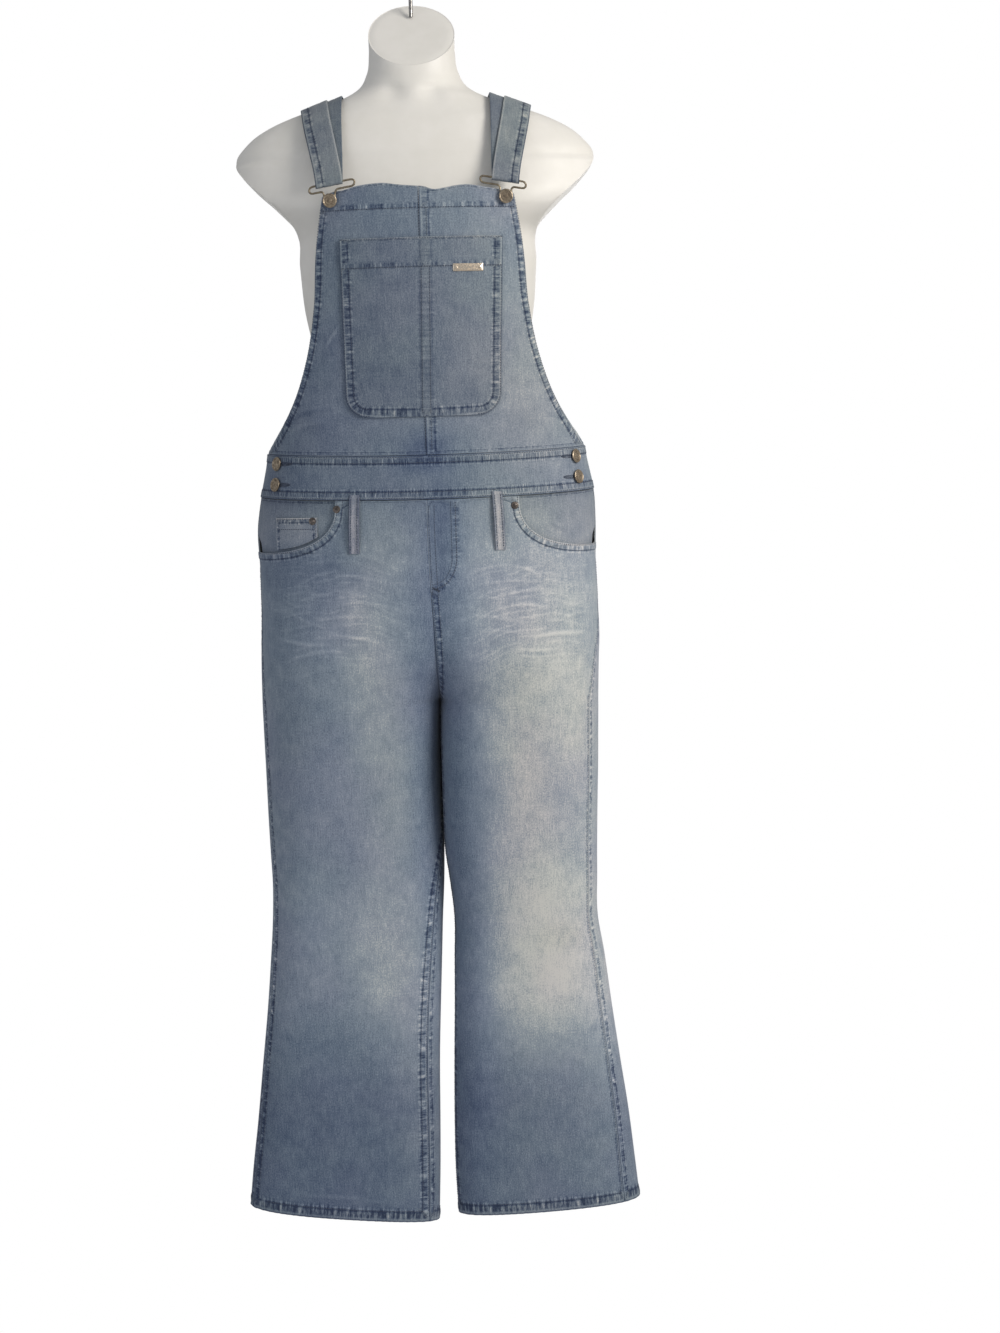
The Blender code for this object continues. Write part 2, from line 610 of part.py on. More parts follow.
def strap_centres():
    """Points of one strap's middle surface from the back bib to the buckle,
    round the buckle's bar and back over the shoulder: x, y, z, drop, tilt."""
    def lifted(step, upper, lift):
        x, y, z, drop = strap_line(step, upper)
        _, y1, z1, _ = strap_line(step + 1e-3, upper)
        _, y0, z0, _ = strap_line(step - 1e-3, upper)
        run = np.hypot(y1 - y0, z1 - z0)
        out_y, out_z = -(z1 - z0) / run, (y1 - y0) / run
        tilt = np.clip(1 - step / 0.16, 0.0, 1.0)
        return np.stack([x, y + out_y * lift, z + out_z * lift, drop, tilt], axis=-1)

    bend = WIRE / 2 + GAP + STRAP_PLY / 2
    down = np.linspace(1.0, 0.002, 26)
    up = np.concatenate([np.linspace(0.002, 0.2, 6)[:-1], np.linspace(0.2, UPPER_PLY_ENDS, 18)])
    apart = STRAP_PLY + 0.5 + (2 * bend - STRAP_PLY - 0.5) * np.clip(1 - up / 0.2, 0, 1) ** 2
    under = lifted(down, False, np.full(len(down), STRAP_PLY / 2))
    over = lifted(up, True, STRAP_PLY / 2 + apart)
    out = (over[0, 1:3] - under[-1, 1:3]) / np.linalg.norm(over[0, 1:3] - under[-1, 1:3])
    fall = np.array([out[1], -out[0]])
    fall = fall if fall[1] < 0 else -fall
    bar = (over[0, 1:3] + under[-1, 1:3]) / 2
    turn = np.linspace(0.0, np.pi, 8)[1:-1, None]
    fold = bar + bend * (-out * np.cos(turn) + fall * np.sin(turn))
    fold = np.column_stack([np.full(len(fold), under[-1, 0]), fold,
                            np.zeros(len(fold)), np.ones(len(fold))])
    return np.vstack([under, fold, over]), bar


def build_straps(look):
    """Both straps, each one long band folded round its buckle's bar."""
    centres, bar = strap_centres()
    across = STRAP_WIDE / 2 * np.array([-1.0, 0.0, 1.0])
    for side, word in ((-1, "left"), (1, "right")):
        out = centres[:, 0:1] + across
        z = (centres[:, 2:3] - SHOULDER_SLOPE * centres[:, 3:4] * (out - SHOULDER_X)
             - BUCKLE_TILT * centres[:, 4:5] * (out - STRAP[0, 2]))
        y = centres[:, 1:2] + 0 * out
        points = np.stack([CENTRE_X + side * out, y, z], axis=-1)
        along, over = np.gradient(points, axis=0), np.gradient(points, axis=1)
        normal = np.cross(along, over)
        normal /= np.linalg.norm(normal, axis=-1, keepdims=True)
        half = STRAP_PLY / 2
        slab(f"strap_{word}", points + normal * half, points - normal * half, look)
    return bar


def buckle_outline():
    """Closed wire: a long slot with a narrow loop let into its lower bar.
    Distances inwards and upwards from the middle of the upper bar."""
    slot_end, loop, low, deep = 4.0, 6.4, -8.0, -20.0
    inner, outer = 26.0, -20.0
    quarter = np.linspace(np.pi / 2, -np.pi / 2, 6)
    right = [(inner + slot_end * math.cos(a), low / 2 + slot_end * math.sin(a)) for a in quarter]
    sweep = np.linspace(0.0, -np.pi, 9)
    bottom = [(loop * math.cos(a), deep + loop * math.sin(a)) for a in sweep]
    left = [(outer - slot_end * math.cos(a), low / 2 - slot_end * math.sin(a)) for a in quarter]
    return (right + [(16.0, low), (loop + 2.5, low), (loop + 0.5, low - 2.2), (loop, low - 6.0)]
            + bottom + [(-loop, low - 6.0), (-loop - 0.5, low - 2.2), (-loop - 2.5, low)]
            + left + [(-8.0, 0.0), (8.0, 0.0)])


def build_buckles(bar, look):
    """A wire buckle for each strap and the bib button that it hooks."""
    shape = np.array(buckle_outline())
    button_z = bar[1] - 20.0
    for side, word in ((-1, "left"), (1, "right")):
        tilt = BUCKLE_TILT * np.clip((shape[:, 1] + 20.0) / 12.0, 0.0, 1.0)
        x = CENTRE_X + side * (STRAP[0, 2] - shape[:, 0])
        z = bar[1] + shape[:, 1] + tilt * shape[:, 0]
        path = np.stack([x, np.full(len(x), bar[0]), z], axis=-1)
        tube(f"buckle_{word}", path, WIRE / 2, look, closed=True)
        face = bar[0] - WIRE / 2 - 0.6
        near_x, near_z = CENTRE_X + side * (STRAP[0, 2] - 3.2), button_z - 3.2
        foot = garment(side, turn_at(side, near_x, near_z), near_z)[1]
        base = np.array([CENTRE_X + side * STRAP[0, 2], foot - GAP, button_z])
        tall = base[1] - face
        turned(f"bib_button_{word}", base, (0, -1, 0),
               [(0.0, 3.0), (tall, 3.0), (tall, BUTTON_R - 0.6), (tall + 0.6, BUTTON_R),
                (tall + 1.6, BUTTON_R), (tall + 2.3, BUTTON_R - 1.0), (tall + 1.9, 4.0)], look)


def build_side_buttons(look):
    """Two buttons at each end of the front band."""
    for side, word in ((-1, "left"), (1, "right")):
        for place, out, z in (("upper", 180.0, -668.5), ("lower", 182.5, -693.5)):
            t = turn_at(side, CENTRE_X + side * out, z)
            base, axis = garment(side, t, z), garment_normal(side, t, z)
            turned(f"side_button_{place}_{word}", base + axis * 2 * GAP, axis,
                   [(0.0, 3.2), (1.3, 3.2), (1.3, BUTTON_R - 0.6), (1.9, BUTTON_R),
                    (2.9, BUTTON_R), (3.6, BUTTON_R - 1.0), (3.2, 4.0)], look)


def build_rivets(look):
    """A copper rivet at each pocket mouth and at the coin pocket's corner."""
    for name, x, z, cloth in (("rivet_left", -105.5, -724.0, 0.0),
                              ("rivet_right", 108.0, -725.0, 0.0),
                              ("rivet_coin", -135.5, -737.5, COIN_OUT)):
        side = 1 if x > 0 else -1
        t = turn_at(side, x, z)
        base, axis = garment(side, t, z), garment_normal(side, t, z)
        turned(name, base + axis * (cloth + GAP), axis,
               [(0.0, RIVET_R), (0.7, RIVET_R), (1.2, RIVET_R - 1.2), (1.4, 1.0)], look, sides=12)


def main():
    for old in list(bpy.data.objects):
        bpy.data.objects.remove(old)
    denim = material("denim", (0.16, 0.22, 0.31), 0.9)
    band = material("denim_band", (0.15, 0.21, 0.30), 0.9)
    strap = material("denim_strap", (0.15, 0.19, 0.25), 0.9)
    pocket = material("denim_pocket", (0.17, 0.23, 0.32), 0.9)
    loop = material("denim_loop", (0.24, 0.26, 0.30), 0.9)
    brass = material("antique_brass", (0.27, 0.22, 0.15), 0.35, 0.9)
    plate = material("plate_metal", (0.62, 0.58, 0.50), 0.3, 1.0)
    copper = material("rivet_metal", (0.16, 0.13, 0.11), 0.4, 0.9)
    shell = material("form_white", (0.86, 0.85, 0.84), 0.45)
    steel = material("hook_steel", (0.45, 0.45, 0.46), 0.3, 1.0)

    build_form(shell)
    build_hook(steel)
    build_bibs(denim)
    build_bib_pocket(pocket, plate)
    build_waistband(band)
    build_legs(denim)
    build_front_pockets(pocket)
    build_belt_loops(loop)
    bar = build_straps(strap)
    build_buckles(bar, brass)
    build_side_buttons(brass)
    build_rivets(copper)


main()
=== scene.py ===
# %% [markdown]
# # Denim dungarees on a hanging torso form
#
# The real object is a pair of mid-wash denim dungarees pulled over a smooth
# white display torso that hangs from a wire hook. This lesson dresses the
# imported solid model: every cloth panel becomes a fine shell with its own
# seams, puckers, fades and stitches, and every metal piece gets its rims and
# wear. The solid model gives all places, so nothing here moves the object.

# %% Load the frame
import json
import math
from collections import namedtuple

import bmesh
import bpy
from mathutils import Matrix, Vector
import numpy as np

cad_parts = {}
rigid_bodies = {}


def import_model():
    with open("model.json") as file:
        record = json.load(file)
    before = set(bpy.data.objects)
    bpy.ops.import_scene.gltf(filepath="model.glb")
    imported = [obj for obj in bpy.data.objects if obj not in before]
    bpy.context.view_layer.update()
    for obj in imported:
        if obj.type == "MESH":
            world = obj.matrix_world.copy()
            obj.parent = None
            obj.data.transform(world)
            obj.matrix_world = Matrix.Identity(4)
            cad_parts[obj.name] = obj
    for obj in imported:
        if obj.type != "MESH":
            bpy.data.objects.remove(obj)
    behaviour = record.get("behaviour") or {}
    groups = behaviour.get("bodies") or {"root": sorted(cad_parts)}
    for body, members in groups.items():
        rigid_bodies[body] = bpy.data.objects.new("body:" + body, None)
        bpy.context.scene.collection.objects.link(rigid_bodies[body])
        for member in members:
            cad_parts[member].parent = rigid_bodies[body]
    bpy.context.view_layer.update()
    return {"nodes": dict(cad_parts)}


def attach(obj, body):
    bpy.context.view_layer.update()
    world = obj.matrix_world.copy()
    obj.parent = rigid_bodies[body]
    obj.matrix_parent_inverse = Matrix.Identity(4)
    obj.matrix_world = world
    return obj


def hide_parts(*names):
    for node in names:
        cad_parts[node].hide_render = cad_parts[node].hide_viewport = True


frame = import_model()
MM = 0.001
SIDES = ((-1, "left"), (1, "right"))       # as the viewer in front sees them
print("nodes in the frame:", len(frame["nodes"]))

# %% [markdown]
# ## The garment as one surface
#
# A sewn garment could be modelled panel by panel, but then the panels would
# not meet. So one surface is worked out first, and each panel is a patch of
# it. At a height z each side of the garment is an oval. Above the crotch the
# oval runs past the middle and is cut there. Below it the oval closes into a
# leg. A point has a side (-1 or +1), a height z in millimetres and a turn t:
# 0 at the centre front or inseam, 0.5 at the side, 1 at the centre back.

# %% Sizes of the garment, in millimetres
CLOTH = 1.2            # one ply of denim
HEM_PLY = 2.4          # cloth turned up at the hem
GAP = 0.3              # clearance between neighbouring panels
SQUARE = 0.12          # how square the ovals are, 0 for an ellipse
CENTRE_X = 3.3         # the garment hangs this far to the right on the form
BAND_TOP = -656.0      # upper waist seam at the sides
BAND_LOW = -709.0      # lower waist seam at the sides
LEG_TOP = BAND_LOW - GAP
FRONT_DIP = 6.0        # how much lower both seams run at the centre front
HIP_Z = -800.0         # the outseams start to turn forward here
CROTCH_Z = -962.0      # the rise ends and the inseams start
THIGH_Z = -975.0       # rows of faces lie closer above this height
HEM_FADE = -1424.0     # from here down the rows lean towards the hem's slope
HEM_LEVEL = -1618.0
HEM_HIGH = 12.0        # depth of the turned up hem
HEM_EDGE = HEM_LEVEL + HEM_HIGH
HEM_ENDS = {-1: (-1606.0, -1633.0), 1: (-1611.0, -1625.0)}   # outer, inner
SCOOP_TOP_X = 110.0    # where the pocket mouth leaves the waist seam
SCOOP_DEEP = 66.0      # from the waist seam down to its lowest point
SCOOP_POWER = 2.6      # 2 is an ellipse, more is squarer
FACING_IN = 2.7        # the cloth in the pocket mouth lies this far in
COIN_OUT = CLOTH + 0.6 - FACING_IN
POCKET_TOP, POCKET_LOW = -406.5, -616.0
POCKET_CORNER = 27.0
POCKET_OUT = 1.8       # the bib pocket's face stands this far off the bib
STRAP_WIDE, STRAP_PLY = 32.0, 2.0
WIRE = 2.4             # buckle wire
BUTTON_R, RIVET_R = 8.5, 4.6
SIDE_BUTTONS = (("upper", 180.0, -668.5), ("lower", 182.5, -693.5))   # name, out, z
HEM_LINE_UP = 2.5      # a hem's pucker line lies this far above its stitches
LOOP_WIDE, LOOP_HIGH, LOOP_OUT = 12.5, 70.0, 85.0      # belt loops
SHOULDER_X, SHOULDER_SLOPE, BUCKLE_TILT = 108.0, 0.38, 0.17
UPPER_PLY_ENDS = 0.80
print("cloth", CLOTH, "mm thick, panels", GAP, "mm apart")

# %% Rings, lap and leg seams
RINGS = np.array([
    #    z   mid  left_out  right_out  left_in  right_in  front   back
    [ -345,    4,     -172,       180,     180,     -172,   113,    88],
    [ -440,  3.5,     -177,       184,     184,     -177,   122,    93],
    [ -540,    3,     -184,       190,     190,     -184,   117,    96],
    [ -600,    3,     -188,       194,     194,     -188,   111,    97],
    [ -660,    3,     -193,       199,     199,     -193,   106,    98],
    [ -715,    3,     -204,       209,     207,     -202,   107,   103],
    [ -745,  2.5,   -208.5,       210,     203,     -198,   108,   107],
    [ -800,  3.5,   -207.5,       209,     175,     -168,   108,   113],
    [ -850,  5.5,   -207.5,     210.5,     125,     -114,   107,   117],
    [ -890,  7.5,   -209.5,     211.5,      74,      -59,   105,   118],
    [ -920,    9,   -210.5,       210,      42,      -24,   102,   117],
    [ -945,   10,   -210.8,       209,      21,       -1,    98,   114],
    [ -957, 10.3,   -210.9,     208.6,      14,      6.9,  96.2, 111.6],
    [ -965, 10.5,     -211,     208.3,    10.3,     10.8,    95,   110],
    [ -970, 10.5,     -211,     208.2,    10.5,     10.6,  94.3,   109],
    [ -985, 10.5,   -210.8,     207.9,    10.5,     10.5,    92,   106],
    [-1015, 10.5,   -210.4,     207.1,    10.7,     10.2,  87.7, 100.6],
    [-1041, 10.5,     -210,     206.5,    10.8,     10.1,    84,    96],
    [-1117, 10.5,     -209,     203.7,    10.7,     10.3,    73,    82],
    [-1155,   11,     -208,     202.5,    10.2,     11.5,    68,    75],
    [-1193,   12,     -207,     201.7,       9,       16,    63,    68],
    [-1243,   13,     -209,       201,     5.7,     20.5,    57,    60],
    [-1295,   12,   -213.5,     208.5,       3,     19.2,    52,    54],
    [-1350,   11,     -219,       215,       0,     17.7,    48,    49],
    [-1424,    9,     -228,     224.5,    -3.5,       15,    44,    44],
    [-1502,    7,   -237.5,       235,    -5.3,       13,    41,    40],
    [-1560,    6,   -245.5,       241,      -7,     12.5,    39,    37],
    [-1640,    4,     -254,       249,   -10.5,       15,    37,    34],
])
LAP = np.array([
    #    z  lap  how far the right thigh comes forward and the left one goes back
    [ -960,   0],
    [ -970,   3],
    [ -985,   8],
    [-1012,  13],
    [-1117,  13],
    [-1160,   9],
    [-1230,   0],
], float)
LEG_SEAMS = np.array([
    #    z  out_left  out_right  in_left  in_right
    [ -800,    0.500,     0.500,   0.000,        0],
    [ -858,    0.468,     0.458,   0.000,        0],
    [ -910,    0.446,     0.410,   0.000,        0],
    [ -985,    0.445,     0.402,   0.000,        0],
    [-1117,    0.445,     0.402,   0.012,        0],
    [-1193,    0.446,     0.405,   0.070,        0],
    [-1260,    0.446,     0.404,   0.085,        0],
    [-1640,    0.446,     0.392,   0.082,        0],
])
print("the garment is", len(RINGS), "rings, from", RINGS[0, 0], "to", RINGS[-1, 0], "mm")


# %% The surface functions
def smooth(value, table, column=1):
    """Cubic through a table's column against its first one, whose slope at
    each row is the mean of the two slopes beside it; rows may run either way."""
    order = np.argsort(table[:, 0])
    x, y = table[order, 0], table[order, column]
    step = np.diff(x)
    rise = np.diff(y) / step
    slope = np.empty_like(y)
    slope[1:-1] = (rise[:-1] * step[1:] + rise[1:] * step[:-1]) / (step[1:] + step[:-1])
    slope[0], slope[-1] = rise[0], rise[-1]
    value = np.clip(np.asarray(value, float), x[0], x[-1])
    i = np.clip(np.searchsorted(x, value) - 1, 0, len(x) - 2)
    h = step[i]
    u = (value - x[i]) / h
    return ((1 + 2 * u) * (1 - u) ** 2 * y[i] + u * (1 - u) ** 2 * h * slope[i]
            + u * u * (3 - 2 * u) * y[i + 1] - u * u * (1 - u) * h * slope[i + 1])


def oval_angle(across):
    """Angle whose squared-off cosine, cos(1 + SQUARE sin^2), is `across`."""
    across = np.clip(across, -1.0, 1.0)
    angle = np.arccos(across)
    for _ in range(6):
        c, s = np.cos(angle), np.sin(angle)
        miss = c * (1 + SQUARE * s * s) - across
        fall = -s * (1 + SQUARE * s * s - 2 * SQUARE * c * c)
        angle = np.where(np.abs(s) > 1e-4, angle - miss / np.minimum(fall, -1e-4), angle)
    return angle


def ring_columns(side, z):
    """Centre, half width, depths and middle of one side's oval at height z."""
    mid, left_out, right_out, left_in, right_in, front, back = (
        smooth(z, RINGS, k) for k in range(1, 8))
    outer = np.where(side > 0, right_out, left_out)
    inner = np.where(side > 0, right_in, left_in)
    return (outer + inner) / 2, np.abs(outer - inner) / 2, front, back, mid


def garment(side, t, z):
    """Points of the garment: the oval's angle runs evenly with the turn t,
    x is the squared-off cosine times the half width, and y is minus the
    squared-off sine times the depth in front or behind."""
    side, t, z = np.broadcast_arrays(np.asarray(side, float), t, z)
    centre, half, front, back, mid = ring_columns(side, z)
    angle = oval_angle(side * (mid - centre) / half) * (1 - 2 * t)
    c, s = np.cos(angle), np.sin(angle)
    x = centre + side * half * c * (1 + SQUARE * s * s)
    y = -np.where(s >= 0, front, back) * s * (1 + SQUARE * c * c)
    y = y - side * smooth(z, LAP) * ((1 - c) / 2) ** 3
    return np.stack([x, y, z], axis=-1)


def garment_normal(side, t, z, dt=1e-3, dz=1.5):
    """Outward unit normals: the cross product of two short steps."""
    side, t, z = np.broadcast_arrays(np.asarray(side, float), t, z)
    along = garment(side, t + dt, z) - garment(side, t - dt, z)
    up = garment(side, t, z + dz) - garment(side, t, z - dz)
    normal = np.cross(along, up) * side[..., None]
    return normal / np.linalg.norm(normal, axis=-1, keepdims=True)


print("middle of the bib at the waist:", garment(1, 0.0, BAND_TOP).round(1))


# %% Places on the surface
def turn_at(side, x, z):
    """The turn of the front point that has this x."""
    centre, half, _, _, mid = ring_columns(side, z)
    cut = oval_angle(side * (mid - centre) / half)
    return (1 - oval_angle(side * (x - centre) / half) / cut) / 2


def inset(side, t, z, distance):
    """The turn that lies `distance` millimetres round from t."""
    speed = np.linalg.norm(garment(side, t + 1e-3, z) - garment(side, t - 1e-3, z), axis=-1) / 2e-3
    return t + distance / speed


def dip(t):
    """How far the front waist seams run below their ends."""
    return FRONT_DIP * np.cos(np.pi * np.minimum(t, 0.5)) ** 2


def seam_turns(side, z):
    """Turns of a leg's outseam and inseam at height z."""
    columns = (1, 3) if side < 0 else (2, 4)
    return [smooth(z, LEG_SEAMS, k) for k in columns]


def side_of(x):
    """Which side's oval a front point belongs to."""
    return np.where(x >= RINGS[0, 1], 1.0, -1.0)


def step_up(low, high, value):
    """0 below `low`, 1 above `high`, and an S-shaped ramp between."""
    u = np.clip((value - low) / (high - low), 0.0, 1.0)
    return u * u * (3 - 2 * u)


print("waist seam at the centre front:", round(BAND_TOP - float(dip(np.array(0.0))), 1), "mm")

# %% [markdown]
# ## Seams, creases and fades as tables
#
# Worn denim is told by three things: the felled seams with their puckers,
# the whiskers where the hip bends, and the broad fades on thigh and knee.
# They could be painted on an image, but a table of lines and soft spots in
# millimetres is exact, short and easy to change. Distances from those lines
# give both the relief of the mesh and the values that the material reads.

# %% Distance from a line
Seam = namedtuple("Seam", "line width strength ridge pitch cast worn start rows",
                  defaults=(1.0, 0.0, 0.0, 0.0, 2))


def nearest(points, line, reach):
    """Distance from each point to the nearest place on a polyline and how far
    along it that place lies. Points outside the line's box grown by `reach`
    are left at a large distance."""
    flat = points.reshape(-1, 3)
    gap = np.full(len(flat), 1e3)
    run = np.zeros(len(flat))
    inside = np.all((flat > line.min(axis=0) - reach) & (flat < line.max(axis=0) + reach), axis=1)
    leg = np.diff(line, axis=0)
    long = np.maximum(np.linalg.norm(leg, axis=1), 1e-6)
    start = np.concatenate([[0.0], np.cumsum(long)[:-1]])
    near = flat[inside]
    if len(near):
        rel = near[:, None, :] - line[None, :-1, :]
        share = np.clip(np.einsum("psk,sk->ps", rel, leg) / long ** 2, 0.0, 1.0)
        off = np.linalg.norm(rel - share[..., None] * leg, axis=-1)
        best = np.argmin(off, axis=1)
        pick = np.arange(len(near))
        gap[inside] = off[pick, best]
        run[inside] = start[best] + share[pick, best] * long[best]
    return gap.reshape(points.shape[:-1]), run.reshape(points.shape[:-1])


def front_line(x, z):
    """A polyline on the garment's front through the given x and z."""
    x, z = np.broadcast_arrays(np.asarray(x, float), np.asarray(z, float))
    side = side_of(x)
    return garment(side, turn_at(side, x, z), z)


def ripple(along, across, step, seed):
    """Smooth unevenness: sines of the two coordinates whose phases slip."""
    a = along / step
    b = across / step
    return (np.sin(2.3 * a + 1.7 * np.sin(0.37 * a + seed) + 0.9 * b)
            + np.sin(4.1 * a + 2.1 * np.sin(0.53 * a + 2 * seed) - 0.7 * b)) / 2


print("a seam has", len(Seam._fields), "settings")

# %% Creases and folds
CREASES = np.array([
    #  x0     z0    x1     z1  bow  width   pale  height
    [-158,  -816, -109,  -797,   3,   3.4,  0.45,   0.35],
    [-152,  -791,  -90,  -785,   2,   3.2,  0.30,   0.25],
    [-117,  -803,  -39,  -817,   4,   3.4,  0.50,   0.35],
    [-104,  -776,  -27,  -802,   6,   3.2,  0.30,   0.25],
    [-178,  -829, -154,  -841,  -2,     3,  0.45,   0.30],
    [-156,  -834, -107,  -827,   3,   3.4,  0.60,   0.45],
    [-117,  -821,  -58,  -835,   3,     3,  0.40,   0.30],
    [-100,  -833,  -34,  -847,   3,   3.4,  0.50,   0.35],
    [-169,  -846, -119,  -867,  -3,   3.6,  0.50,   0.40],
    [-135,  -857,  -81,  -852,   2,     3,  0.55,   0.40],
    [-128,  -874,  -50,  -888,   3,   3.8,  0.80,   0.55],
    [-186,  -878, -117,  -886,  -3,   3.8,  0.80,   0.50],
    [-156,  -902, -102,  -896,   4,   3.2,  0.40,   0.30],
    [-175,  -910, -144,  -899,   3,   3.2,  0.45,   0.30],
    [ 107,  -800,  139,  -814,   5,   3.2,  0.90,   0.50],
    [  53,  -820,  137,  -818,   4,   3.2,  0.55,   0.35],
    [  52,  -804,  112,  -798,   4,     3,  0.40,   0.30],
    [  87,  -831,  160,  -829,   2,   3.2,  0.55,   0.40],
    [  57,  -834,   93,  -839,   2,   2.8,  0.40,   0.30],
    [  98,  -845,  145,  -850,   3,   3.8,  1.00,   0.60],
    [  51,  -856,  111,  -866,   3,   3.2,  0.50,   0.35],
    [ 159,  -865,  195,  -857,   2,     3,  0.45,   0.30],
    [  62,  -874,  122,  -881,   2,   3.2,  0.50,   0.35],
    [ 128,  -884,  190,  -883,   3,   3.8,  0.90,   0.55],
    [ 105,  -898,  158,  -899,  -2,   3.4,  0.60,   0.40],
    [ 110,  -907,  140,  -913,   2,     3,  0.35,   0.25],
    [ 146,  -792,  191,  -784,   2,     3,  0.35,   0.25],
    [  33,  -843,   63,  -850,   2,   2.8,  0.30,   0.25],
    [-113,  -533,  -93,  -506,   1,   3.2,  0.70,   0.50],
    [-168,  -622, -104,  -606,   6,     5, -0.55,   0.80],
    [-165,  -633, -112,  -620,   5,   4.5,  0.30,   0.60],
    [ 150,  -622,  194,  -648,   5,   4.5,  0.45,   0.60],
    [ 140,  -612,  186,  -640,   4,     4, -0.35,   0.50],
    [  60,  -560,   95,  -566,   3,     5, -0.30,   0.30],
    [-190, -1586,  -60, -1604,   4,     4,  0.50,   0.60],
    [ 150,  -745,  172,  -757,  -2,   3.6, -0.50,   0.40],
])
FOLDS = np.array([
    #  x0     z0    x1     z1  bow  width  height
    [-165, -1390, -120, -1560,  10,    26,    1.6],
    [-110, -1330,  -60, -1500,  -8,    30,    1.4],
    [-150,  -960, -190, -1200,   8,    34,    1.2],
    [ -70,  -980,  -95, -1240,   8,    36,    1.3],
    [  80,  -980,   70, -1250,  -6,    34,    1.3],
    [ 150,  -930,  165, -1180,   8,    30,    1.2],
    [ 120, -1300,  100, -1520,   8,    34,    1.4],
    [ 190, -1340,  215, -1570,  -8,    24,    1.5],
    [  55, -1330,   40, -1560,   6,    26,    1.2],
    [-170,  -890, -100,  -925,   8,    22,    1.4],
    [  70,  -905,  170,  -935,   8,    22,    1.4],
    [-150,  -600, -110,  -640,   5,    18,    1.2],
    [ 120,  -590,  165,  -640,  -5,    18,    1.2],
])
print(len(CREASES), "creases and", len(FOLDS), "folds")

# %% Fine whiskers and the value of a crease
WHISKER_STEP = 8.0     # mm between the fine rows
WHISKER_ZONES = np.array([
    #   x     z  wide  tall  amount
    [-105, -842,   84,   72,   0.55],
    [ 118, -852,   74,   74,   0.60],
])


def bowed_line(x0, z0, x1, z1, bow, count=9):
    """A shallow arc from (x0, z0) to (x1, z1) that rises by `bow` midway."""
    share = np.linspace(0.0, 1.0, count)
    x = x0 + (x1 - x0) * share
    z = z0 + (z1 - z0) * share + 4 * bow * share * (1 - share)
    return x, z


def whisker_values(points):
    """Fine rubbed lines across both hips: a wave down the leg whose rows dip
    towards the fly, each row broken into strokes of its own."""
    x, z = points[..., 0], points[..., 2]
    out = np.abs(x - CENTRE_X)
    zone = sum(amount * np.exp(-((x - cx) / wide) ** 4 - ((z - cz) / tall) ** 4)
               for cx, cz, wide, tall, amount in WHISKER_ZONES)
    zone = zone * (points[..., 1] < 0)
    row = (z + 0.22 * (110.0 - np.minimum(out, 110.0)) + 5.0 * np.sin(x / 31.0 + 0.7)
           + 2.5 * np.sin(x / 12.0 + z / 41.0)) / WHISKER_STEP
    own = np.floor(row + 0.25)
    stroke = step_up(-0.35, 0.5, np.sin(x / 17.0 + 2.1 * own) + 0.7 * np.sin(x / 8.3 + 4.3 * own))
    peak = step_up(0.25, 1.0, np.sin(2 * np.pi * row)) * stroke
    return zone * (0.62 * peak - 0.16), zone * 0.3 * peak


def crease_place(points, x0, z0, x1, z1, bow, reach):
    """Distance of each point from a crease's arc, and the share of the arc's
    length where its nearest place lies."""
    line = front_line(*bowed_line(x0, z0, x1, z1, bow))
    gap, run = nearest(points, line, reach)
    return gap, run / np.linalg.norm(np.diff(line, axis=0), axis=1).sum()


def crease_values(points):
    """How pale and how high each point is from the creases and folds near it:
    a bell curve across each line, fading towards the line's ends. The
    darker fringe round each line is painted shade beside the raised crease."""
    pale, high = np.zeros(points.shape[:-1]), np.zeros(points.shape[:-1])
    for *arc, width, amount, rise in CREASES:
        gap, share = crease_place(points, *arc, 3 * width)
        taper = np.clip(4 * share * (1 - share), 0.0, 1.0) ** 0.6
        bell = np.exp(-(gap / (0.62 * width)) ** 2) * taper
        dark = np.exp(-(gap / (1.5 * width)) ** 2) * taper
        # the pale line is wear; the wider darker fringe is painted shade
        pale += amount * (bell - 0.25 * dark)
        high += rise * bell
    for *arc, width, rise in FOLDS:
        gap, share = crease_place(points, *arc, 2.5 * width)
        taper = np.sin(np.pi * np.clip(share, 0.02, 0.98))
        ridge, valley = np.exp(-(gap / width) ** 2), np.exp(-(gap / (1.8 * width)) ** 2)
        high += rise * (ridge - 0.35 * valley) * taper
    fine, lift = whisker_values(points)
    return pale + fine, high + lift


print("fine whiskers every", WHISKER_STEP, "mm in", len(WHISKER_ZONES), "zones")
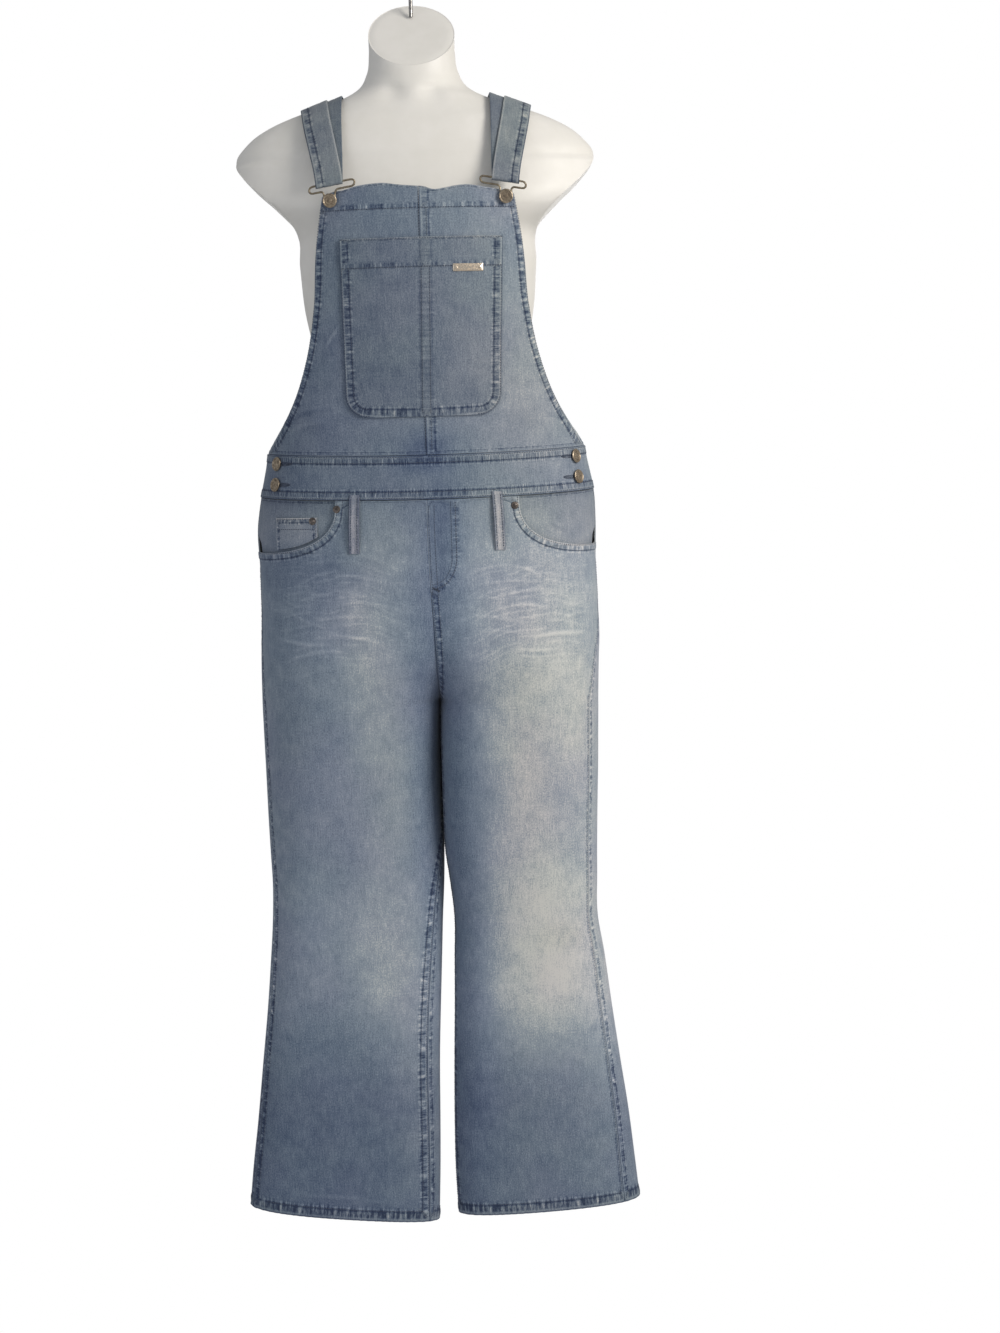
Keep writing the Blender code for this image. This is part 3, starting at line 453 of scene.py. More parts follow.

# %% Fades, with painted light and shade
FADES = np.array([
    #   x      z  wide  tall   more  greyer
    [ -75,  -885,   34,   95,  0.20,    0.5],
    [ -40,  -765,   45,   45,  0.08,    0.3],
    [ -52, -1060,   40,  120,  0.08,    0.6],
    [ -62, -1290,   55,  100,  0.17,    0.4],
    [-105, -1250,   45,   60,  0.06,      0],
    [-160, -1225,   30,   60,  0.05,   -0.2],
    [-120,  -790,   60,   28, -0.14,   -0.1],
    [-190,  -800,   40,   60, -0.08,   -0.2],
    [-130, -1385,   60,   45, -0.07,   -0.1],
    [ -15, -1500,   42,  150,  0.14,    0.4],
    # partly deeper indigo, partly painted shade where the legs meet: this row darkens the left
    # leg's inner edge
    [ -12, -1000,   22,  200, -0.10,   -0.3],
    [-165,  -985,   30,   60, -0.04,    0.1],
    # partly deeper indigo, partly painted shade where the legs meet: these two rows darken the
    # right leg's inner edge
    [  22, -1060,   34,  300, -0.20,   -0.9],
    [  30, -1400,   36,  200, -0.10,   -0.9],
    [  22,  -800,   20,   80, -0.10,   -0.4],
    [  62,  -900,   24,  110,  0.10,    0.1],
    [ 150,  -900,   45,  130,  0.13,    0.3],
    [ 112, -1030,   36,  160,  0.12,    0.7],
    [ 180,  -990,   28,  110,  0.10,    0.5],
    [ 140, -1225,   66,   90,  0.20,    0.5],
    [ 132, -1325,   66,   75,  0.19,    0.5],
    [ 150, -1262,   26,   15, -0.10,    0.5],
    [ 205, -1450,   45,  130,  0.10,      0],
    [ 115,  -748,   45,   36,  0.06,    0.1],
    [-130,  -560,   40,   90, -0.03,   -0.1],
    [ 130,  -580,   45,   90,  0.10,    0.6],
    [   6,  -650,   26,   16, -0.17,   -0.6],
    [   6,  -672,   40,   12, -0.10,   -0.5],
    [-160,  -750,   44,   30,  0.18,    0.1],
    [  19,  -760,   17,   60, -0.09,   -0.3],
])


def fade_and_painted_light_values(points):
    """How faded (0 deep to 1 pale) and how grey (-1 blue to 1 grey) the cloth
    is: a slope from left to right, a fall towards the hem, and soft spots.
    The slope is partly fade and partly painted light: the right side is
    painted paler and warmer, as the key lamp on the right lights it."""
    x, z = points[..., 0], points[..., 2]
    # painted light: the rise to the right is partly fade and partly the key lamp's light painted
    # in, paler in wash and warmer in grey
    right = step_up(-60.0, 110.0, x)
    low = step_up(690.0, 800.0, -z)
    wash = (0.44 + 0.15 * right + 0.13 * low
            - (0.24 + 0.05 * right) * step_up(1330.0, 1500.0, -z))
    grey = -0.1 + 0.2 * right - 0.25 * low
    back = np.clip(points[..., 1] / 40.0, 0.0, 1.0)
    for x0, z0, wide, tall, more, greyer in FADES:
        spot = np.exp(-((x - x0) / wide) ** 2 - ((z - z0) / tall) ** 2) * (1 - 0.45 * back)
        wash += more * spot
        grey += greyer * spot
    return wash, grey


print(len(FADES), "fades")

# %% [markdown]
# ## Turning patches into cloth
#
# A panel could be a flat sheet with a Solidify modifier, but its seams need
# an outer face that is shaped and an inner face that is not. So each panel is
# two grids of points, the outer one raised by the relief, joined round their
# edges. Each point also carries its place in its seam's band and its fade,
# which the denim material reads.


# %% Mesh helpers
def grid_faces(rows, cols, around=False):
    """Quads of a grid whose points are numbered row by row; `around` joins
    the last column to the first."""
    i = np.arange(rows - 1)[:, None] * cols
    j = np.arange(cols if around else cols - 1)[None, :]
    k = (j + 1) % cols
    quads = np.stack([i + j, i + k, i + cols + k, i + cols + j], axis=-1)
    return quads.reshape(-1, 4)


def shell_faces(rows, cols):
    """Quads of a closed slab: an upper grid, a lower grid turned over, and
    the wall that joins their borders."""
    low = rows * cols
    upper = grid_faces(rows, cols)
    grid = np.arange(low).reshape(rows, cols)
    loop = np.concatenate([grid[0, :-1], grid[:-1, -1], grid[-1, :0:-1], grid[:0:-1, 0]])
    after = np.roll(loop, -1)
    wall = np.stack([after, loop, loop + low, after + low], axis=-1)
    return np.concatenate([upper, upper[:, ::-1] + low, wall])


def signed_volume(points, quads):
    """Six times the volume enclosed, positive when faces point outwards."""
    a, b, c, d = (points[quads[:, k]] for k in range(4))
    return float(np.sum(a * np.cross(b, c)) + np.sum(a * np.cross(c, d)))


def make_piece(name, points, quads, look, uv=None, values=None, sharp=None):
    """A mesh object from millimetre points and quads, faces outwards, with an
    optional UV per point and named point attributes."""
    points = np.asarray(points, float).reshape(-1, 3)
    quads = np.asarray(quads, np.int32)
    if signed_volume(points, quads) < 0:
        quads = quads[:, ::-1]
    mesh = bpy.data.meshes.new(name)
    mesh.vertices.add(len(points))
    mesh.vertices.foreach_set("co", (points * MM).ravel())
    mesh.loops.add(quads.size)
    mesh.loops.foreach_set("vertex_index", quads.ravel())
    mesh.polygons.add(len(quads))
    mesh.polygons.foreach_set("loop_start", np.arange(len(quads), dtype=np.int32) * 4)
    mesh.update(calc_edges=True)
    mesh.validate()
    mesh.shade_smooth()
    if sharp:
        mesh.set_sharp_from_angle(angle=math.radians(sharp))
    if uv is not None:
        corner = np.empty(len(mesh.loops), np.int32)
        mesh.loops.foreach_get("vertex_index", corner)
        layer = mesh.uv_layers.new(name="Cloth")
        layer.data.foreach_set("uv", np.asarray(uv, float).reshape(-1, 2)[corner].ravel())
    for key, value in (values or {}).items():
        store = mesh.attributes.new(key, "FLOAT_VECTOR", "POINT")
        store.data.foreach_set("vector", np.asarray(value, float).reshape(-1, 3).ravel())
    mesh.materials.append(look)
    piece = bpy.data.objects.new(name, mesh)
    bpy.context.scene.collection.objects.link(piece)
    return piece


def closed(piece, merge=0.01):
    """Join points that coincide, as at a pole, and turn all faces outwards."""
    work = bmesh.new()
    work.from_mesh(piece.data)
    bmesh.ops.remove_doubles(work, verts=work.verts, dist=merge * MM)
    bmesh.ops.recalc_face_normals(work, faces=work.faces)
    work.to_mesh(piece.data)
    work.free()
    return piece


print("a slab of 3 by 4 points has", len(shell_faces(3, 4)), "faces")


# %% Panels with relief
def seam_values(points, seams):
    """For each point: its place across the nearest seam's band (0 at the edge,
    1 at the second row of stitches), the distance along it in pucker steps,
    the strength of its puckers, the height of the folded plies, how grey the
    band is and how worn its edge is."""
    band = np.full(points.shape[:-1], 9.0)
    run, strength, ridge, cast, worn = (np.zeros(points.shape[:-1]) for _ in range(5))
    for k, seam in enumerate(seams):
        gap, along = nearest(points, seam.line, 3 * seam.width)
        place = seam.start + (1 - seam.start) * gap / seam.width
        closer = place < band
        band = np.where(closer, place, band)
        run = np.where(closer, along * seam.pitch + 37.0 * k, run)
        force = seam.strength * (1 - step_up(0.55, 0.95, place) if seam.rows == 1 else 1.0)
        strength = np.where(closer, force, strength)
        ridge = np.maximum(ridge, seam.ridge * (1 - step_up(0.88, 1.12, place)))
        cast += seam.cast * (1 - step_up(0.9, 1.2, place))
        worn += seam.worn * (1 - step_up(1.0, 3.2, gap))
    return band, run, strength, ridge, cast, worn


def dressed(points, normal, seams, shift):
    """Raise surface points by plies, puckers, creases and folds, and return
    them with their seam and look values."""
    band, run, strength, ridge, cast, worn = seam_values(points, seams)
    pale, high = crease_values(points)
    # wash and grey carry the fades, together with painted light on the right side and painted shade
    # where the legs meet
    wash, grey = fade_and_painted_light_values(points)
    pucker = ripple(run, band * 9.0, 4.2, 1.0) * strength
    window = step_up(-0.2, 0.5, band) * (1 - step_up(1.0, 1.9, band))
    high = np.clip(high, -0.8, 2.2) + ridge + 0.28 * pucker * window
    away = points + normal * (high + shift)[..., None]
    seam = np.stack([np.minimum(band, 4.0), run / 100.0, strength], axis=-1)
    look = np.stack([wash, grey + cast, pale + worn], axis=-1)
    return away, seam, look


Cloth = namedtuple("Cloth", "seams shift")
CLOTHS = {}          # how each panel is dressed, so that stitches can follow it
INNER_WASH, INNER_GREY = 0.78, 0.6     # the paler, greyer inner face


def panel(name, node, side, t, z, look, seams, shift, ply=CLOTH):
    """A cloth shell over the patch (side, t, z) of the garment surface, its
    outer face dressed and its inner face plain, one ply further in."""
    points, normal = garment(side, t, z), garment_normal(side, t, z)
    shift = shift + np.zeros(points.shape[:-1])
    outer, seam, wear = dressed(points, normal, seams, shift)
    inner = points + normal * (shift - ply)[..., None]
    girth = np.linalg.norm(np.diff(points, axis=1, prepend=points[:, :1]), axis=-1).cumsum(axis=1)
    middle = points.shape[1] // 2
    across = np.sign(points[0, -1, 0] - points[0, 0, 0])
    girth = girth - girth[:, middle:middle + 1] + across * points[:, middle:middle + 1, 0]
    uv = np.stack([girth, points[..., 2]], axis=-1) / 1000.0
    inside = np.zeros_like(wear)
    inside[..., 0], inside[..., 1] = INNER_WASH, INNER_GREY
    away = np.zeros_like(seam)
    away[..., 0] = 4.0
    piece = make_piece(name, np.stack([outer, inner]), shell_faces(*points.shape[:2]), look,
                       uv=np.stack([uv, uv + 0.37]),
                       values={"seam": np.stack([seam, away]), "wear": np.stack([wear, inside])},
                       sharp=50)
    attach(piece, "root")
    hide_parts(node)
    CLOTHS[name] = Cloth(seams, shift.mean())
    return piece


print("helpers ready")

# %% [markdown]
# ## Materials
#
# Denim has an indigo warp that fades and a white weft beneath. The colour
# could be one noise, but what the eye reads is layered: fades, streaks along
# the warp, a fine twill, and blots of deep blue beside pale ridges along the
# seams. One node group does all of that, and each denim material places it
# with its own tint, so that straps and pockets differ a little.


# %% Node helpers
def linear(r, g, b):
    """A colour given in the usual 0-255 steps, as linear light."""
    part = np.array([r, g, b]) / 255.0
    light = np.where(part <= 0.04045, part / 12.92, ((part + 0.055) / 1.055) ** 2.4)
    return (*light.tolist(), 1.0)


def add_node(tree, kind, inputs=None, **settings):
    """A node of one kind with its settings and inputs; an input is a value or
    another node's output socket."""
    node = tree.nodes.new(kind)
    for key, value in settings.items():
        setattr(node, key, value)
    for key, value in (inputs or {}).items():
        if isinstance(value, bpy.types.NodeSocket):
            tree.links.new(value, node.inputs[key])
        else:
            node.inputs[key].default_value = value
    return node


def maths(tree, operation, a, b=0.0, c=0.0, clamp=False):
    """The result of one arithmetic step."""
    return add_node(tree, "ShaderNodeMath", {0: a, 1: b, 2: c}, operation=operation,
                    use_clamp=clamp).outputs[0]


def ramp(tree, value, low, high, start=0.0, end=1.0):
    """`value` mapped smoothly from low..high to start..end."""
    return add_node(tree, "ShaderNodeMapRange", {0: value, 1: low, 2: high, 3: start, 4: end},
                    interpolation_type="SMOOTHSTEP").outputs[0]


def noise(tree, vector, scale, detail=2.0, rough=0.5):
    """Soft random values from 0 to 1."""
    inputs = {"Vector": vector, "Scale": scale, "Detail": detail, "Roughness": rough}
    return add_node(tree, "ShaderNodeTexNoise", inputs).outputs[0]


def stretched(tree, vector, scale):
    """Coordinates with each axis multiplied by its own number."""
    return add_node(tree, "ShaderNodeVectorMath", {0: vector, 1: scale},
                    operation="MULTIPLY").outputs[0]


def group_tree(name, ins, outs):
    """An empty node group with its named sockets."""
    tree = bpy.data.node_groups.new(name, "ShaderNodeTree")
    for key, kind, value in ins:
        sock = tree.interface.new_socket(key, in_out="INPUT", socket_type=kind)
        sock.default_value = value
    for key, kind in outs:
        tree.interface.new_socket(key, in_out="OUTPUT", socket_type=kind)
    return tree, tree.nodes.new("NodeGroupInput").outputs, tree.nodes.new("NodeGroupOutput").inputs


print("mid denim in linear light:", np.round(linear(112, 124, 138), 3))


# %% The denim group
def mix_colour(tree, blend, a, b, factor=1.0):
    """Two colours combined by a blend type."""
    node = tree.nodes.new("ShaderNodeMix")
    node.data_type, node.blend_type = "RGBA", blend
    for slot, value in ((0, factor), (6, a), (7, b)):
        if isinstance(value, bpy.types.NodeSocket):
            tree.links.new(value, node.inputs[slot])
        else:
            node.inputs[slot].default_value = value
    return node.outputs[2]


def colour_ramp(tree, value, shades):
    """`value` turned into a colour through (place, (r, g, b)) stops."""
    shade = add_node(tree, "ShaderNodeValToRGB", {0: value})
    stops = shade.color_ramp.elements
    while len(stops) < len(shades):
        stops.new(0.5)
    for stop, (where, colour) in zip(stops, shades):
        stop.position, stop.color = where, linear(*colour)
    return shade.outputs[0]


def denim_group():
    """Colour, roughness and height of worn denim, from the piece's UV map in
    metres and its seam and wear values. Fade, warp streaks, clouding, puckers
    and creases add up to one level, which a colour ramp turns into a shade."""
    tree, given, out = group_tree(
        "denim cloth",
        [("Wash", "NodeSocketFloat", 0.0), ("Streaks", "NodeSocketFloat", 1.0),
         ("Puckers", "NodeSocketFloat", 1.0), ("Tint", "NodeSocketColor", (1, 1, 1, 1))],
        [("Colour", "NodeSocketColor"), ("Roughness", "NodeSocketFloat"),
         ("Height", "NodeSocketFloat")])

    def off_middle(value):
        """A 0..1 value moved to lie evenly about 0."""
        return maths(tree, "SUBTRACT", value, 0.5)

    def times(a, b, plus=0.0):
        """a times b, plus a third value."""
        return maths(tree, "MULTIPLY_ADD", a, b, plus)

    place = add_node(tree, "ShaderNodeUVMap", uv_map="Cloth").outputs[0]
    seam = add_node(tree, "ShaderNodeAttribute", attribute_name="seam").outputs["Vector"]
    wear = add_node(tree, "ShaderNodeAttribute", attribute_name="wear").outputs["Vector"]
    band, run, strength = add_node(tree, "ShaderNodeSeparateXYZ", {0: seam}).outputs
    # the wear values hold fades and wear, and also some painted light and shade, such as the paler,
    # warmer right side
    wash, grey, pale = add_node(tree, "ShaderNodeSeparateXYZ", {0: wear}).outputs

    slub = noise(tree, stretched(tree, place, (1.0, 0.11, 1.0)), 620.0, 3.0, 0.65)
    broad = noise(tree, stretched(tree, place, (1.0, 0.22, 1.0)), 150.0, 2.0)
    speck = noise(tree, stretched(tree, place, (1.0, 0.6, 1.0)), 800.0, 2.0, 0.7)
    cloud = noise(tree, place, 22.0, 3.0, 0.55)
    blotch = noise(tree, place, 60.0, 2.0, 0.6)
    yarn = times(off_middle(broad), 0.15, times(off_middle(speck), 0.74))
    yarn = times(times(off_middle(slub), 0.40, yarn), given["Streaks"])
    mottle = times(off_middle(cloud), 0.26, times(off_middle(blotch), 0.20))

    along = add_node(tree, "ShaderNodeCombineXYZ",
                     {0: run, 1: times(band, 0.03)}).outputs[0]
    knots = noise(tree, along, 21.0, 2.0, 0.55)
    ticks = noise(tree, stretched(tree, along, (1.0, 0.3, 1.0)), 70.0, 1.0, 0.5)
    inside = times(ramp(tree, band, 0.1, 0.55), ramp(tree, band, 1.05, 1.75, 1.0, 0.0))
    push = times(times(inside, strength), given["Puckers"])
    blot = times(maths(tree, "SUBTRACT", knots, 0.56), 2.2, off_middle(ticks))
    pucker = times(blot, push)

    firm = ramp(tree, strength, 0.0, 0.5)

    def line_in_band(middle, half):
        """A soft stripe along the seam at one place of its band."""
        away = maths(tree, "ABSOLUTE", maths(tree, "SUBTRACT", band, middle))
        return times(ramp(tree, away, 0.0, half, 1.0, 0.0), firm)

    level = maths(tree, "ADD", maths(tree, "ADD", wash, given["Wash"]),
                  maths(tree, "ADD", yarn, mottle))
    # Painted shade: the dark line at the seam's edge is partly dye in the fold and partly painted
    # shade of the gap, and the dark line at the second row of stitches is painted shade of its
    # groove. The pale line just inside the edge is worn cloth.
    for value, weight in ((pale, 0.27), (pucker, 0.90), (line_in_band(0.0, 0.2), -0.36),
                          (line_in_band(0.26, 0.15), 0.12), (line_in_band(1.02, 0.18), -0.26)):
        level = times(value, weight, level)
    level = maths(tree, "MULTIPLY_ADD", line_in_band(1.30, 0.16), 0.10, level, clamp=True)
    shade = colour_ramp(tree, level, [
        (0.0, (44, 56, 80)), (0.25, (79, 92, 112)), (0.5, (112, 124, 138)),
        (0.75, (146, 155, 165)), (1.0, (195, 197, 198))])

    cast = ramp(tree, times(off_middle(cloud), 0.5, grey), -1.0, 1.0)
    hue = mix_colour(tree, "MIX", (0.93, 0.98, 1.08, 1.0), (1.05, 1.02, 0.95, 1.0), cast)
    rosy = ramp(tree, noise(tree, place, 7.0, 2.0), 0.35, 0.65)
    tone = mix_colour(tree, "MIX", (0.995, 1.01, 0.99, 1.0), (1.02, 0.99, 1.01, 1.0), rosy)
    shade = mix_colour(tree, "MULTIPLY", shade, tone)
    colour = mix_colour(tree, "MULTIPLY", mix_colour(tree, "MULTIPLY", shade, hue), given["Tint"])
    tree.links.new(colour, out["Colour"])
    tree.links.new(ramp(tree, level, 0.0, 1.0, 0.94, 0.82), out["Roughness"])
    twill = add_node(tree, "ShaderNodeTexWave", {"Vector": stretched(tree, place, (1.0, 0.62, 1.0)),
                                                 "Scale": 420.0, "Distortion": 1.5, "Detail": 1.0},
                     bands_direction="DIAGONAL").outputs[1]
    height = times(yarn, 0.6, times(twill, 0.12))
    for value, weight in ((pucker, 1.6), (line_in_band(0.0, 0.16), -0.8),
                          (line_in_band(1.02, 0.14), -0.7)):
        height = times(value, weight, height)
    tree.links.new(height, out["Height"])
    return tree


DENIM = denim_group()
print("denim group has", len(DENIM.nodes), "nodes")


# %% Denim finishes
def plain_material(name, roughness, metallic=0.0):
    """A new material with its Principled shader."""
    made = bpy.data.materials.new(name)
    made.use_nodes = True
    shader = made.node_tree.nodes["Principled BSDF"]
    shader.inputs["Roughness"].default_value = roughness
    shader.inputs["Metallic"].default_value = metallic
    return made, made.node_tree, shader


def denim_material(name, wash=0.0, streaks=1.0, puckers=1.0, tint=(1.0, 1.0, 1.0)):
    """One denim finish: the shared group with this finish's own values."""
    made, tree, shader = plain_material(name, 0.9)
    cloth = tree.nodes.new("ShaderNodeGroup")
    cloth.node_tree = DENIM
    for key, value in (("Wash", wash), ("Streaks", streaks), ("Puckers", puckers),
                       ("Tint", (*tint, 1.0))):
        cloth.inputs[key].default_value = value
    tree.links.new(cloth.outputs["Colour"], shader.inputs["Base Color"])
    tree.links.new(cloth.outputs["Roughness"], shader.inputs["Roughness"])
    bump = add_node(tree, "ShaderNodeBump", {"Strength": 0.55, "Distance": 0.0006,
                                             "Height": cloth.outputs["Height"]})
    tree.links.new(bump.outputs[0], shader.inputs["Normal"])
    shader.inputs["Specular IOR Level"].default_value = 0.25
    shader.inputs["Sheen Weight"].default_value = 0.12
    shader.inputs["Sheen Roughness"].default_value = 0.5
    return made


denim = denim_material("denim")
denim_band = denim_material("denim band", wash=-0.03, puckers=0.9)
denim_pocket = denim_material("denim pocket", wash=-0.06, tint=(1.03, 1.0, 0.96))
denim_strap = denim_material("denim strap", wash=0.03, streaks=0.8, tint=(1.08, 1.03, 0.95))
denim_loop = denim_material("denim loop", wash=0.06, tint=(1.12, 1.01, 0.98))
print("denim finishes:", len(bpy.data.materials))


# %% Metal, thread and the form
def worn_group():
    """Mottled wear for metal and moulded parts: two noises on the object's
    own coordinates give a colour between two tones and a small height."""
    tree, given, out = group_tree(
        "surface wear",
        [("Scale", "NodeSocketFloat", 300.0), ("Tone", "NodeSocketColor", (1, 1, 1, 1)),
         ("Worn tone", "NodeSocketColor", (1, 1, 1, 1))],
        [("Colour", "NodeSocketColor"), ("Mask", "NodeSocketFloat"), ("Height", "NodeSocketFloat")])
    place = add_node(tree, "ShaderNodeTexCoord").outputs["Object"]
    coarse = noise(tree, place, given["Scale"], 3.0, 0.6)
    fine = noise(tree, place, maths(tree, "MULTIPLY", given["Scale"], 5.0), 2.0, 0.6)
    both = maths(tree, "MULTIPLY_ADD", fine, 0.35, maths(tree, "MULTIPLY", coarse, 0.65))
    mask = ramp(tree, both, 0.35, 0.65)
    tree.links.new(mix_colour(tree, "MIX", given["Tone"], given["Worn tone"], mask), out["Colour"])
    tree.links.new(mask, out["Mask"])
    tree.links.new(fine, out["Height"])
    return tree


WORN = worn_group()


def worn_material(name, tone, worn, roughness, metallic, scale=300.0, bump=0.2, spread=0.12):
    """A metal, thread or plastic with two tones and uneven gloss."""
    made, tree, shader = plain_material(name, roughness, metallic)
    wear = tree.nodes.new("ShaderNodeGroup")
    wear.node_tree = WORN
    wear.inputs["Scale"].default_value = scale
    wear.inputs["Tone"].default_value = linear(*tone)
    wear.inputs["Worn tone"].default_value = linear(*worn)
    tree.links.new(wear.outputs["Colour"], shader.inputs["Base Color"])
    gloss = ramp(tree, wear.outputs["Mask"], 0.0, 1.0, roughness + spread, roughness - spread)
    tree.links.new(gloss, shader.inputs["Roughness"])
    relief = add_node(tree, "ShaderNodeBump", {"Strength": bump, "Distance": 0.0002,
                                               "Height": wear.outputs["Height"]})
    tree.links.new(relief.outputs[0], shader.inputs["Normal"])
    return made


brass = worn_material("antique brass", (104, 94, 80), (158, 148, 128), 0.42, 0.8)
button_metal = worn_material("button metal", (112, 100, 86), (172, 158, 138), 0.40, 0.8)
rivet_metal = worn_material("dark rivet metal", (62, 58, 58), (112, 104, 98), 0.45, 0.8)
plate_metal = worn_material("plain plate metal", (206, 188, 166), (236, 224, 206), 0.28, 1.0, 500.0)
thread_dark = worn_material("dark seam thread", (48, 58, 78), (84, 92, 108), 0.85, 0.0, 700.0)
form_white = worn_material("form white", (221, 219, 213), (227, 225, 220), 0.5, 0.0,
                           scale=9.0, bump=0.03, spread=0.04)
hook_steel = worn_material("hook steel", (120, 118, 116), (170, 168, 166), 0.34, 1.0)
print("materials:", len(bpy.data.materials))

# %% [markdown]
# ## The torso form and its hook
#
# The form is a moulded shell: a neck cut off on a slope, rounded shoulders
# and two flat faces where the arms would start. Boolean cuts would leave
# ragged edges, so each ring of the form is an ellipse whose sides are pulled
# in to the flat faces, with one column of points on each face's rim.

# %% Torso form
FORM = np.array([
    #     z  half  front  back  lean
    [  -862,  164,    84,   92,    0],
    [  -850,  168,    88,   96,    0],
    [  -790,  171,    92,  103,    0],
    [  -720,  156,    86,   96,    0],
    [  -650,  131,    80,   82,    0],
    [  -600,  124,    81,   76,    0],
    [  -540,  130,    91,   78,    0],
    [  -480,  141,   103,   84,    0],
    [  -430,  145,   107,   88,    0],
    [  -384,  149,   102,   86,    0],
    [  -357,  173,    95,   84,    0],
    [  -332,  200,    86,   82,    0],
    [  -312,  216,    80,   79,    0],
    [  -297,  217,    77,   76,    0],
    [  -285,  208,    73,   72,    0],
    [  -269,  189,    66,   66,    0],
    [  -257,  166,    61,   61,    0],
    [-246.5,  138,    56,   57,    0],
    [-238.5,  113,    53,   55,    0],
    [  -230,   89,    51,   53,    0],
    [  -219,   69,    49,   51,  0.1],
    [  -200,   56,    47,   48,  0.3],
    [  -178, 52.5,    45,   45,  0.6],
    [  -153, 52.5,    43,   42,    1],
])


def form_rings(z, flat_columns=8, round_columns=44):
    """Rings of the form at heights z. Each is an ellipse; between the
    shoulder's tip and the armpit it is widened and cut off at the flat face."""
    half, front, back, lean = (smooth(z, FORM, k) for k in range(1, 5))
    cut = step_up(-402.0, -338.0, z) * (1 - step_up(-313.0, -303.0, z))
    full = half + cut * np.clip(226.0 - half, 8.0, 60.0)
    rim = np.arccos(np.clip(half / full, 0.0, 0.9995))[:, None]
    rise = np.linspace(0.0, 1.0, round_columns, endpoint=False)[None, :]
    side = np.linspace(0.0, 1.0, flat_columns, endpoint=False)[None, :]
    turn = np.concatenate([rim + (np.pi - 2 * rim) * rise, np.pi - rim + 2 * rim * side,
                           np.pi + rim + (np.pi - 2 * rim) * rise, -rim + 2 * rim * side], axis=1)
    x = np.clip(full[:, None] * np.cos(turn), -half[:, None], half[:, None])
    sine = np.sin(turn)
    y = -np.where(sine >= 0, front[:, None], back[:, None]) * sine
    hollow = np.exp(-((z + 226.0) / 16.0) ** 2)[:, None] * np.exp(-((np.abs(x) - 24.0) / 14.0) ** 2)
    bone = np.exp(-((z + 262.0) / 13.0) ** 2)[:, None] * step_up(20.0, 60.0, np.abs(x))
    y = y + np.where(sine > 0, 5.0 * hollow - 1.5 * bone * (np.abs(x) < 150), 0.0)
    return np.stack([x, y, z[:, None] + lean[:, None] * y], axis=-1)


def torso():
    """Rings from the foot to the neck, closed at both ends by shrinking the
    last ring to a point through a small rounded edge."""
    z = np.concatenate([np.linspace(FORM[0, 0], -392.0, 70), np.linspace(-389.0, -300.0, 46),
                        np.linspace(-297.0, FORM[-1, 0], 72)])
    rings = form_rings(z)
    caps = []
    for ring, down in ((rings[0], -1.0), (rings[-1], 1.0)):
        middle = ring.mean(axis=0)
        steps = [(0.985, 0.9), (0.96, 1.4)] + [(s, 1.4) for s in np.linspace(0.8, 0.0, 8)]
        lean = np.array([0.0, -0.7, 0.7]) if down > 0 else np.array([0.0, 0.0, -1.0])
        caps.append(np.stack([middle + (ring - middle) * s + lean * (lift - 1.4)
                              for s, lift in steps]))
    rings[0] += np.array([0.0, 0.0, 1.4])
    grid = np.concatenate([caps[0][::-1], rings, caps[1]])
    piece = make_piece("torso_form", grid, grid_faces(*grid.shape[:2], around=True), form_white)
    closed(piece)
    piece.data.set_sharp_from_angle(angle=math.radians(56))
    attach(piece, "root")
    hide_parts("form_torso")
    return piece


form = torso()
print("form:", len(form.data.polygons), "faces")


# %% Round wires
def wire(name, path, radius, look, sides=14, loop=False):
    """A round wire along a list of points: each ring stands square to the
    path, turned by one fixed guide, and the ends are rounded."""
    path = np.asarray(path, float)
    ahead = np.roll(path, -1, axis=0) if loop else np.vstack([path[1:], path[-1:]])
    behind = np.roll(path, 1, axis=0) if loop else np.vstack([path[:1], path[:-1]])
    tangent = ahead - behind
    tangent /= np.linalg.norm(tangent, axis=1, keepdims=True)
    guide = np.linalg.svd(path - path.mean(axis=0))[2][2]
    first = np.cross(tangent, guide)
    first /= np.linalg.norm(first, axis=1, keepdims=True)
    second = np.cross(tangent, first)
    turn = np.arange(sides) * 2 * np.pi / sides
    size = np.full(len(path), radius)
    if not loop:
        path, first, second = (np.vstack([rows[:1], rows, rows[-1:]])
                               for rows in (path, first, second))
        size = np.concatenate([[0.0], size, [0.0]])
    ring = path[:, None] + size[:, None, None] * (np.cos(turn)[None, :, None] * first[:, None]
                                                  + np.sin(turn)[None, :, None] * second[:, None])
    if loop:
        ring = np.concatenate([ring, ring[:1]])
    return closed(make_piece(name, ring, grid_faces(*ring.shape[:2], around=True), look, sharp=50))


def rounded(path, count, loop=False):
    """A denser path through the given points with its corners eased: the
    points are spread evenly along it, then averaged with their neighbours."""
    path = np.asarray(path, float)
    if loop:
        path = np.vstack([path, path[:1]])
    far = np.concatenate([[0.0], np.cumsum(np.linalg.norm(np.diff(path, axis=0), axis=1))])
    even = np.linspace(0.0, far[-1], count + 1)[:-1] if loop else np.linspace(0.0, far[-1], count)
    dense = np.stack([np.interp(even, far, path[:, k]) for k in range(3)], axis=1)
    for _ in range(3):
        mean = (np.roll(dense, 1, axis=0) + np.roll(dense, -1, axis=0)) / 2
        if not loop:
            mean[0], mean[-1] = dense[0], dense[-1]
        dense = (dense + mean) / 2
    return dense


